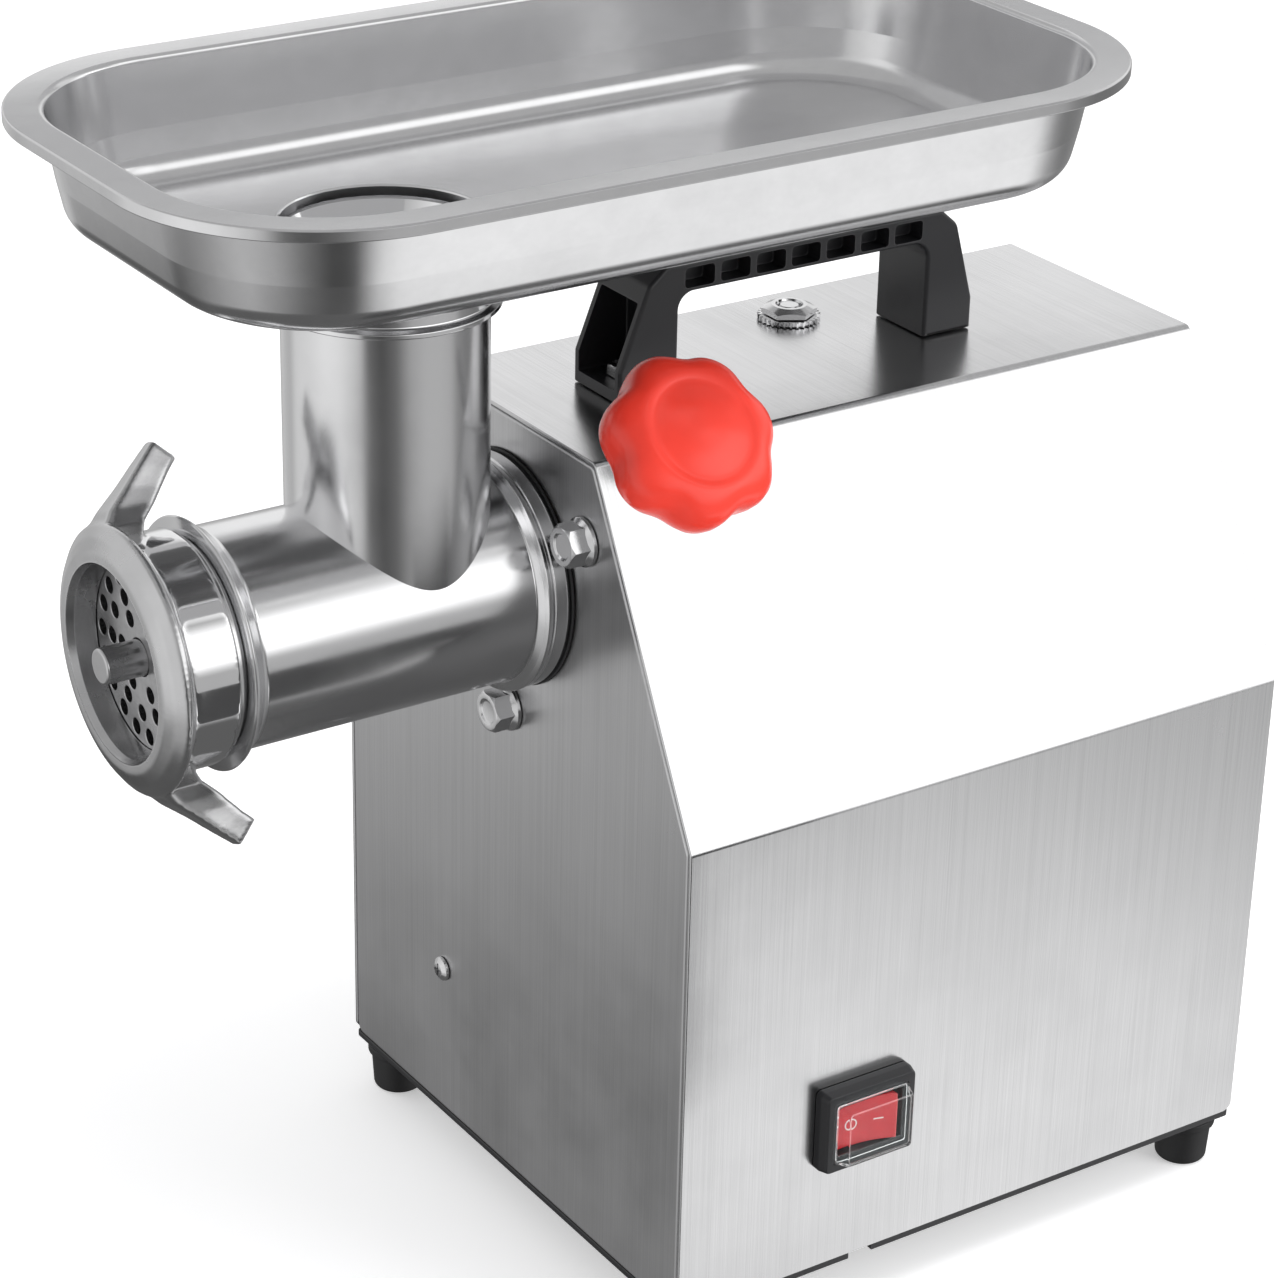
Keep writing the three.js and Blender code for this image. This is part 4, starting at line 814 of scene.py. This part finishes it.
def switch_marks():
    """A ring for off on the front half and a bar for on at the rear."""
    def on_face(a, h, lift):
        return rocker_place(a, rocker_face(a) + lift, h)

    ring_centre, sides = 5.6, 48
    ring = [
        [on_face(p.x, p.y, lift) for p in circle(ring_centre, 0, r, sides)]
        for r, lift in ((1.7, -0.1), (1.7, 0.1), (2.2, 0.1), (2.2, -0.1))
    ]
    corners = ((-0.25, -0.1), (-0.25, 0.1), (0.25, 0.1), (0.25, -0.1))
    bar = [[on_face(a, h, lift) for h, lift in corners] for a in (-3, -4.2, -5.4, -6.6)]
    return joined(loft(ring, closed=True), loft(bar))


def switch_cover():
    low, high = box("switch_cover")
    start, end = low.x, high.x
    levels = [
        (end - 1, 12.5, 9.5, 0.8), (start, 14.2, 10.8, 0.8), (start, 14.9, 11.5, 1.2),
        (start + 0.3, 15, 11.6, 1.2), (end - 0.6, 13.6, 10.5, 1.2), (end - 0.2, 13.3, 10.3, 1.1),
        (end, 12.9, 9.9, 1.0),
    ]
    return loft([switch_ring(*level) for level in levels])


def build_switch():
    stand_in("switch_bezel", switch_bezel())
    stand_in("switch_rocker", switch_rocker())
    show("switch_marks", switch_marks(), "mark", BODY_OF["switch_rocker"])
    stand_in("switch_cover", switch_cover())


# ---- clamp knob

KNOB_START = 87


def clamp_knob():
    """Seven soft lobes round a groove and a domed centre.

    The profile holds (height, radius, share of the lobes' full depth)."""
    lobes, depth = 7, 1.4
    points = lobes * 24
    profile = [
        (0, 12, 0), (0, 21.9, 0.2), (0.6, 23.5, 0.45), (2.2, 25.5, 0.7), (5, 27.1, 0.9), (9, 28.0, 1.0),
        (13, 28.3, 1.0), (16, 27.9, 0.9), (18.6, 26.6, 0.7), (20.6, 24.4, 0.35), (21.9, 21.8, 0.1),
        (22.5, 20.2, 0), (22.6, 18.8, 0), (22.3, 17.6, 0), (22.2, 16.6, 0), (22.4, 15.2, 0), (23, 12.6, 0),
        (23.8, 9.6, 0), (24.3, 6.4, 0), (24.6, 3.2, 0), (24.7, 0.01, 0),
    ]
    rings = []
    for height, r, weight in profile:
        ring = []
        for i in range(points):
            angle = 2 * math.pi * i / points
            wave = math.cos(lobes * angle)
            reach = r + weight * depth * (wave - 0.25 * wave * wave)
            across, along = -reach * math.sin(angle), reach * math.cos(angle)
            ring.append(along_clamp(across, along, KNOB_START + height))
        rings.append(ring)
    bore_r, bore_end = 5.2, 100.5
    bore = drill(bore_r, along_clamp, KNOB_START - 1, bore_end)
    return combine(loft(rings), "DIFFERENCE", bore)


# ---- grinding head

HEAD_LOW, HEAD_HIGH = box("head_body")
NECK_FRONT = HEAD_LOW.y
COLLAR_Y = -117
PLATE_LOW, PLATE_HIGH = box("cutting_plate")
RING_FRONT = box("ring_nut")[0].y
WING_TILT = 23.6               # degrees; the upper wing leans away from the switch
SLEEVE_R = 38.6
AUGER_HOLE_R = 12.6
HEAD_SIDES = 192


def round_normals(mesh, cylinders):
    """Gives faces that lie on a cylinder the cylinder's own normals, so that joins stay clean.

    Each cylinder is (a point on its axis, its direction, its radius)."""
    mesh.shade_smooth()
    mesh.set_sharp_from_angle(angle=math.radians(22))
    normals = [Vector(corner.vector) for corner in mesh.corner_normals]
    for face in mesh.polygons:
        for point, direction, radius in cylinders:
            out = face.center - point
            out -= direction * out.dot(direction)
            facing = abs(out.normalized().dot(face.normal))
            if abs(out.length - radius) > 0.1 or facing < 0.995:
                continue
            sign = 1 if out.dot(face.normal) > 0 else -1
            for corner in face.loop_indices:
                at = mesh.vertices[mesh.loops[corner].vertex_index].co - point
                normals[corner] = sign * (at - direction * at.dot(direction)).normalized()
    mesh.normals_split_custom_set(normals)
    return mesh


def head_body():
    back, end = -1.5, HEAD_HIGH.y
    barrel = lathe([
        (0, end), (SHANK_R, end, 0.8), (SHANK_R, back), (39.6, back, 0.2), (40.2, -3, 0.5), (40.2, -7, 0.4),
        (39, -8, 0.2), (40.5, -8.5, 0.4), (40.6, -10, 0.4), (39, -10.8, 0.3), (BARREL_R, -12.2, 1.0),
        (BARREL_R, COLLAR_Y + 5.5, 4), (41.2, COLLAR_Y + 0.9, 0.4), (41.7, COLLAR_Y, 0.2),
        (41.2, COLLAR_Y - 0.6, 0.2), (36, COLLAR_Y - 1.6, 0.6), (36, NECK_FRONT, 0.4), (0, NECK_FRONT),
    ], along_y(), HEAD_SIDES)
    tube = lathe([(0, AXIS_Z), (TUBE_R, AXIS_Z), (TUBE_R, HEAD_HIGH.z, 0.6), (0, HEAD_HIGH.z)],
                 along_z(0, TUBE_Y), HEAD_SIDES)
    bores = [
        drill(BORE_R, along_y(), NECK_FRONT - 1, -13),
        drill(AUGER_HOLE_R, along_y(), -14, end + 1),
        drill(BORE_R, along_z(0, TUBE_Y), AXIS_Z, HEAD_HIGH.z + 1),
    ]
    mesh = combine(combine(barrel, "UNION", tube), "DIFFERENCE", *bores)
    barrel_axis = (Vector((0, 0, AXIS_Z)), Vector((0, 1, 0)))
    tube_axis = (Vector((0, TUBE_Y, 0)), Vector((0, 0, 1)))
    return round_normals(mesh, [
        (*barrel_axis, BARREL_R), (*barrel_axis, BORE_R), (*tube_axis, TUBE_R), (*tube_axis, BORE_R),
    ])


def head_gasket():
    low, high = box("head_gasket")
    return lathe([(25.3, high.y), (high.x, high.y, 0.4), (high.x, low.y, 0.4), (25.3, low.y)], along_y())


def wing_section(front, back, direction, across):
    """A rounded section of a wing between its front and back edge, each (out, Y, half thickness)."""
    section = []
    for p in rounded_rectangle(-1, 1, 0, 1, 0.16, 30):
        out, y, half = (start + (end - start) * p.y for start, end in zip(front, back))
        section.append(direction * out + across * half * p.x + Vector((0, y, AXIS_Z)))
    return section


def ring_wing(side):
    """One swept-back wing, fanned out where it meets the sleeve."""
    stations = [
        ((35, 2.6, 19), (35, 12.4, 18)), ((38, 3, 14), (38, 15.5, 13)), ((42, 4.2, 8.6), (42, 19, 8)),
        ((47, 8, 6.2), (46.5, 24.2, 5.9)), ((53, 15, 4.9), (51, 28.2, 4.7)),
        ((60, 22.5, 3.9), (55.5, 32.2, 3.8)), ((65.7, 28.8, 2.9), (58.8, 35.8, 2.9)),
    ]
    tilt = math.radians(WING_TILT)
    direction = side * Vector((-math.sin(tilt), 0, math.cos(tilt)))
    across = Vector((math.cos(tilt), 0, math.sin(tilt)))
    rings = []
    steps = 6
    for first, second in zip(stations, stations[1:]):
        for k in range(steps):
            rings.append([
                [a + (b - a) * k / steps for a, b in zip(near, far)] for near, far in zip(first, second)
            ])
    rings.append(stations[-1])
    return loft([
        wing_section(
            (front[0], RING_FRONT + front[1], front[2]), (back[0], RING_FRONT + back[1], back[2]),
            direction, across,
        )
        for front, back in rings
    ])


def remeshed(mesh, voxel, smoothing):
    """Fuses overlapping shells into one skin and relaxes it, as a tumbled casting looks."""
    holder = new_object("casting", mesh)
    fuse = holder.modifiers.new("fuse", "REMESH")
    fuse.mode = "VOXEL"
    fuse.voxel_size = voxel
    relax = holder.modifiers.new("relax", "SMOOTH")
    relax.factor = 0.5
    relax.iterations = smoothing
    evaluated = holder.evaluated_get(bpy.context.evaluated_depsgraph_get())
    result = bpy.data.meshes.new_from_object(evaluated)
    bpy.data.objects.remove(holder)
    return result


def ring_nut():
    back = box("ring_nut")[1].y
    sleeve_back = -120.5
    seat = PLATE_LOW.y - GAP
    ring = lathe([
        (28, RING_FRONT, 1.0), (36.2, RING_FRONT, 1.0), (40, RING_FRONT + 1.6, 2),
        (44.4, RING_FRONT + 4.8, 1.2), (43.6, RING_FRONT + 6.8, 1.2), (SLEEVE_R, RING_FRONT + 9, 2),
        (SLEEVE_R, sleeve_back, 0.8), (28, sleeve_back),
    ], along_y())
    voxel, smoothing = 0.6, 10
    casting = remeshed(joined(ring, ring_wing(1), ring_wing(-1)), voxel, smoothing)
    thread_r, pocket_r = 36.4, PLATE_R + 0.4
    inside = lathe([
        (0, RING_FRONT - 3), (RING_OPENING_R + 0.9, RING_FRONT - 3),
        (RING_OPENING_R + 0.4, RING_FRONT + 0.2, 0.5), (RING_OPENING_R - 0.6, RING_FRONT + 2.5, 1),
        (30.6, seat), (pocket_r, seat), (pocket_r, NECK_FRONT), (thread_r, NECK_FRONT),
        (thread_r, back + 5), (0, back + 5),
    ], along_y())
    return combine(casting, "DIFFERENCE", inside)


def polish_sleeve(nut):
    """The sleeve behind the flange is turned bright; the casting round it is only tumbled."""
    nut.data.materials.append(MATERIALS["polished_steel"])
    flange_r, flange_back = 39.5, RING_FRONT + 7.5
    for face in nut.data.polygons:
        centre = millimetres(face.center)
        radius = math.hypot(centre.x, centre.z - AXIS_Z)
        if radius < flange_r and centre.y > flange_back:
            face.material_index = 1


def cutting_plate():
    loops = [circle(0, 0, PLATE_R, ROUND), circle(0, 0, PIN_R + GAP, SMALL_ROUND)]
    hole_r = 2.75
    for radius, count in ((12.5, 6), (19.5, 12), (26.5, 18)):
        loops += [circle(centre.x, centre.y, hole_r, 24) for centre in circle(0, 0, radius, count)]
    return slab(loops, along_y(), PLATE_LOW.y, PLATE_HIGH.y, 0.3)


def auger():
    low, high = box("auger")
    knife_back, shank_end, core_r = -116, 42, 10
    core = lathe([
        (0, low.y), (PIN_R, low.y, 0.9), (PIN_R, knife_back + GAP), (core_r, knife_back + GAP, 0.8),
        (core_r + 2, -18), (12, -17.9), (12, shank_end + GAP, 0.6), (0, shank_end + GAP),
    ], along_y(), SMALL_ROUND)
    turns, steps, reach = 3, 48, BORE_R - 0.8
    front, back = -114.5, -20
    half_section = [(core_r - 2, 2.5), (reach - 0.5, 1.5), (reach, 1)]
    section = [(r, -dy) for r, dy in half_section] + half_section[::-1]
    rings = []
    for i in range(turns * steps + 1):
        share = i / (turns * steps)
        angle = math.radians(7) + 2 * math.pi * turns * share
        y = front + 2.5 + (back - front - 5) * share
        turn = Vector((math.cos(angle), 0, math.sin(angle)))
        rings.append([turn * r + Vector((0, y + dy, AXIS_Z)) for r, dy in section])
    squares = [
        slab([rounded_rectangle(-half, half, -half, half, 1.2)], along_y(), start, end, 0.3)
        for half, start, end in ((6, -126, knife_back + 2), (7.5, shank_end, high.y))
    ]
    return combine(core, "UNION", loft(rings), *squares)


def build_head():
    stand_in("head_body", head_body(), "head_steel")
    stand_in("head_gasket", head_gasket())
    polish_sleeve(stand_in("ring_nut", ring_nut(), sharp=40))
    stand_in("cutting_plate", cutting_plate())
    stand_in("auger", auger())
    knob = stand_in("clamp_knob", clamp_knob())
    # The polished head doesn't mirror the knob's red.
    knob.visible_glossy = False


# ---- feed tray

TRAY_LOW, TRAY_HIGH = box("feed_tray")
TRAY_HOLE_R = 33.0
TRAY_CORNER_R = 66.7
TRAY_FLOOR_INSET = 20


def tray_ring(inset, z):
    """The tray's rounded rectangle, moved in from the rim, with its straight sides divided too."""
    outline = rounded_rectangle(
        TRAY_LOW.x + inset, TRAY_HIGH.x - inset, TRAY_LOW.y + inset, TRAY_HIGH.y - inset,
        TRAY_CORNER_R - inset, 3.75,
    )
    per_corner = len(outline) // 4
    straight_steps = 14
    ring = []
    for i, point in enumerate(outline):
        following = outline[(i + 1) % len(outline)]
        steps = straight_steps if (i + 1) % per_corner == 0 else 1
        ring += [point.lerp(following, k / steps) for k in range(steps)]
    return [Vector((p.x, p.y, z)) for p in ring]


def tray_hole_ring(radius, z):
    """Points on the hole's circle, each facing the tray outline's point of the same number."""
    centre = Vector((0, TUBE_Y, z))
    facing = tray_ring(TRAY_FLOOR_INSET, z)
    return [centre + (point - centre).normalized() * radius for point in facing]


def feed_tray():
    """One closed sheet: up from the hole's lip, out to the rim and back underneath."""
    under, rim = TRAY_LOW.z, TRAY_HIGH.z
    sheet = 1.2
    floor = under + sheet
    lip = [
        (3.6, 0), (2.2, 0.5), (1.4, 1.6), (1.2, 2.6), (0.8, 3.2), (0.3, 3.1), (0, 2.6), (0, -0.4),
        (0.6, -sheet),
    ]
    inside = rounded([
        (44, floor), (20.2, floor, 10), (16.4, floor + 16, 8), (12.6, rim, 2.2), (0.5, rim, 0.5),
        (0, rim - 0.5, 0.6), (0, rim - 4, 0.4), (1.2, rim - 4, 0.3), (1.2, rim - 1.2, 0.4),
        (11.4, rim - 1.2, 1.6), (15.2, floor + 16, 8), (19, under, 11), (44, under),
    ], closed=False, step=7.5)
    rings = [tray_hole_ring(TRAY_HOLE_R + out, floor + up) for out, up in reversed(lip)]
    rings += [tray_ring(inset, z) for inset, z in inside]
    return loft(rings, closed=True)


def tray_collar():
    low, high = box("tray_collar")
    seat = HEAD_HIGH.z + GAP
    neck = BORE_R - 0.6
    return lathe([
        (TRAY_HOLE_R, high.z), (35.2, high.z, 0.3), (35.2, seat + 3, 1.2), (37.1, seat + 1.7, 0.5),
        (37.1, seat, 0.5), (neck, seat, 0.3), (neck, low.z, 0.4), (neck - 1.2, low.z, 0.4),
        (neck - 1.2, seat + 12, 2),
    ], along_z(0, TUBE_Y))


def cable_gland():
    centre, (low, high) = middle("cable_gland"), box("cable_gland")
    outer = LENGTH + GAP
    body = lathe([
        (4.2, low.y), (9.5, low.y, 0.4), (9.5, outer), (14, outer, 0.5), (14, outer + 3, 0.8),
        (10.6, outer + 4.5, 0.6), (9.6, outer + 12, 2), (8, high.y, 0.8), (4.2, high.y, 0.6),
    ], along_y(centre.x, centre.z), SMALL_ROUND)

    def turned(angle):
        """Round the gland's axis, turned by an angle."""
        cosine, sine = math.cos(angle), math.sin(angle)
        return lambda a, b, h: Vector((
            centre.x + a * cosine - b * sine, h, centre.z + a * sine + b * cosine,
        ))

    count = 12
    rib = rounded_rectangle(9.4, 10.9, -0.5, 0.5, 0.3)
    ribs = [
        slab([rib], turned(2 * math.pi * i / count), outer + 3.5, outer + 10.5, 0.2)
        for i in range(count)
    ]
    return combine(body, "UNION", *ribs)


def build_tray():
    stand_in("feed_tray", feed_tray(), "tray_steel", sharp=30)
    stand_in("tray_collar", tray_collar())


# ---- pieces inside the body


def refined(node, edge):
    """A CAD node's own shape with its edges rounded and its round faces shaded smooth."""
    mesh = frame["nodes"][node].data.copy()
    mesh.transform(Matrix.Scale(1 / MM, 4) @ Matrix.Translation(-ORIGIN))
    tidy(mesh, 1e-3)
    if edge > 0:
        soften(mesh, edge, 42)
    return mesh


def build_inside():
    """Refines every CAD node that nothing has replaced yet."""
    still_coarse = {piece.get("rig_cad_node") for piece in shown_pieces()}
    for node in sorted(still_coarse - {None}):
        edge = 0.0 if node.startswith("lead_") else 0.35
        stand_in(node, refined(node, edge), sharp=42)


# ---- studio


def make_camera():
    """The camera looks down on the head end and the switch side."""
    azimuth, elevation, roll = (math.radians(angle) for angle in (55.97, 25.30, 1.30))
    aim = Vector((-0.04335, 0.02295, 0.1967))
    distance = 1.3229
    back = Vector((math.sin(azimuth) * math.cos(elevation), -math.cos(azimuth) * math.cos(elevation),
                   math.sin(elevation)))
    level = Vector((0, 0, 1)).cross(back).normalized()
    right = level * math.cos(roll) + back.cross(level) * math.sin(roll)
    up = back.cross(right)
    data = bpy.data.cameras.new("camera")
    data.sensor_width = 36.0
    data.lens = 104.1
    camera = new_object("camera", data)
    rotation = Matrix((right, up, back)).transposed().to_4x4()
    camera.matrix_world = Matrix.Translation(aim + back * distance) @ rotation
    bpy.context.scene.camera = camera


def colour_ramp(nodes, factor, stops):
    """A ramp over azimuth from stops of (degrees, brightness)."""
    ramp = nodes.add("ValToRGB", {})
    elements = ramp.color_ramp.elements
    while len(elements) > 1:
        elements.remove(elements[-1])
    for i, (degrees, value) in enumerate(stops):
        at = (degrees + 180) / 360
        element = elements[0] if i == 0 else elements.new(at)
        element.position = at
        element.color = (value, value, value, 1.0)
    nodes.feed(ramp.inputs[0], factor)
    return ramp.outputs[0]


def make_world():
    """White to the eye; reflected in the metal, soft boxes and grey cards round the object."""
    world = bpy.data.worlds.new("studio")
    bpy.context.scene.world = world
    world.use_nodes = True
    nodes = Nodes(world.node_tree)
    nodes.tree.nodes.clear()
    direction = nodes.add("TexCoord", {}).outputs["Generated"]
    separate = nodes.add("SeparateXYZ", {0: direction})
    x, y, z = (separate.outputs[i] for i in range(3))
    turn = nodes.add("Math", {0: y, 1: x}, operation="ARCTAN2").outputs[0]
    azimuth = nodes.spread(turn, 0.0, 1.0, -math.pi, math.pi)
    level = colour_ramp(nodes, azimuth, [
        (-180, 0.6), (-158, 0.5), (-146, 0.76), (-120, 0.84), (-100, 0.96), (-82, 0.93), (-62, 0.68),
        (-57, 0.6), (-50, 0.15), (-34, 0.08), (-18, 0.17), (-3, 0.42), (14, 0.5), (33, 0.5), (46, 0.46),
        (54, 0.28), (74, 0.19), (109, 0.24), (146, 0.35), (180, 0.66),
    ])
    lower = colour_ramp(nodes, azimuth, [
        (-180, 0.1), (-153, 0.1), (-115, 0.35), (-85, 0.6), (-60, 0.45), (-40, 0.2), (-22, 0.06), (-4, 0.08),
        (14, 0.9), (30, 1.1), (60, 1.1), (80, 0.5), (110, 0.25), (180, 0.1),
    ])
    high_side = colour_ramp(nodes, azimuth, [
        (-180, 0.8), (-140, 0.75), (-95, 0.95), (-55, 0.55), (-25, 0.5), (0, 1.7), (70, 1.7), (90, 0.8),
        (110, 0.9), (150, 1.05), (180, 0.8),
    ])

    def rise(start, end):
        """0 in directions below one height and 1 above the other."""
        return nodes.spread(z, 0.0, 1.0, start, end)

    nadir_tone, zenith_tone, lamp_tone = ((tone, tone, tone, 1) for tone in (0.13, 0.5, 1.4))
    under = nodes.blend(rise(-0.76, -0.66), nadir_tone, lower)
    low = nodes.blend(rise(-0.51, -0.43), under, level)
    high = nodes.blend(rise(0.47, 0.64), high_side, zenith_tone)
    both = nodes.blend(rise(-0.06, 0.12), low, high)
    lamp = (0.43, 0.5, 0.75)
    toward = nodes.add("VectorMath", {0: direction, 1: lamp}, operation="DOT_PRODUCT").outputs["Value"]
    lit = nodes.blend(nodes.spread(toward, 0.0, 1.0, 0.965, 0.99), both, lamp_tone)
    seen = nodes.add("Background", {"Color": (1, 1, 1, 1), "Strength": 1.0}).outputs[0]
    reflected = nodes.add("Background", {"Color": lit, "Strength": 1.0}).outputs[0]
    eye = nodes.add("LightPath", {}).outputs["Is Camera Ray"]
    output = nodes.add("MixShader", {0: eye, 1: reflected, 2: seen}).outputs[0]
    nodes.add("OutputWorld", {"Surface": output})


def flat_piece(name, corners, material):
    """One face through the corners, as an object of the studio."""
    mesh = bpy.data.meshes.new(name)
    mesh.from_pydata(corners, [], [tuple(range(len(corners)))])
    mesh.materials.append(material)
    return new_object(name, mesh)


def make_floor():
    """A pale floor. Metal mirrors the studio cards instead of it."""
    glow = {"Emission Color": (1, 1, 1, 1), "Emission Strength": 0.42}
    finish = Finish("pale_floor", {"Roughness": 0.9, **glow})
    tone = finish.spread(finish.noise((3, 3, 3)))
    finish.colour(finish.blend(tone, grey(0.86), grey(0.88)))
    half = 6.0
    corners = [(-half, -half, 0), (half, -half, 0), (half, half, 0), (-half, half, 0)]
    floor = flat_piece("floor", corners, finish.material)
    floor.visible_glossy = False


def reflection_card(name, brightness, x, outline):
    """An upright card at a layout X, seen in the metal alone; outline is a list of (y, z)."""
    corners = [tuple(ORIGIN + MM * Vector((x, y, z))) for y, z in outline]
    finish = Finish(name, {"Roughness": 1.0, "Emission Strength": brightness})
    tone = finish.spread(finish.noise((5, 5, 5)))
    finish.feed(finish.shader.inputs["Emission Color"], finish.blend(tone, grey(0.96), grey(1.0)))
    finish.colour(grey(0.01))
    card = flat_piece(name, corners, finish.material)
    card.visible_camera = False
    card.visible_diffuse = False
    card.visible_shadow = False
    card.visible_transmission = False


def softbox(name, position, target, size, power):
    """A soft light that the metal doesn't mirror."""
    data = bpy.data.lights.new(name, "AREA")
    data.shape = "SQUARE"
    data.size = size
    data.energy = power
    light = new_object(name, data)
    light.location = position
    light.rotation_euler = (Vector(target) - Vector(position)).to_track_quat("-Z", "Y").to_euler()
    light.visible_glossy = False


def make_studio():
    bpy.context.scene.view_settings.view_transform = "Standard"
    make_world()
    make_floor()
    reflection_card("dark_card", 0.06, 200, [
        (-60, 40), (61, 40), (61, 150), (110, 150), (110, 205), (-60, 205),
    ])
    reflection_card("grey_card", 0.5, -200, [(-150, 462), (520, 462), (520, 556), (-150, 556)])
    reflection_card("near_card", 0.42, 150, [(-260, 426), (620, 426), (620, 600), (-260, 600)])
    centre = (0, 0, 0.25)
    softbox("overhead", (0.35, 0.35, 1.7), centre, 0.7, 9.0)
    softbox("right", (1.7, 1.1, 1.1), centre, 1.2, 14.0)
    softbox("left", (-1.6, -1.0, 1.2), centre, 1.2, 8.0)


make_camera()
build_shell()
build_fasteners()
stand_in("carry_handle", carry_handle())
build_switch()
build_head()
build_tray()
stand_in("cable_gland", cable_gland())
build_inside()
make_studio()
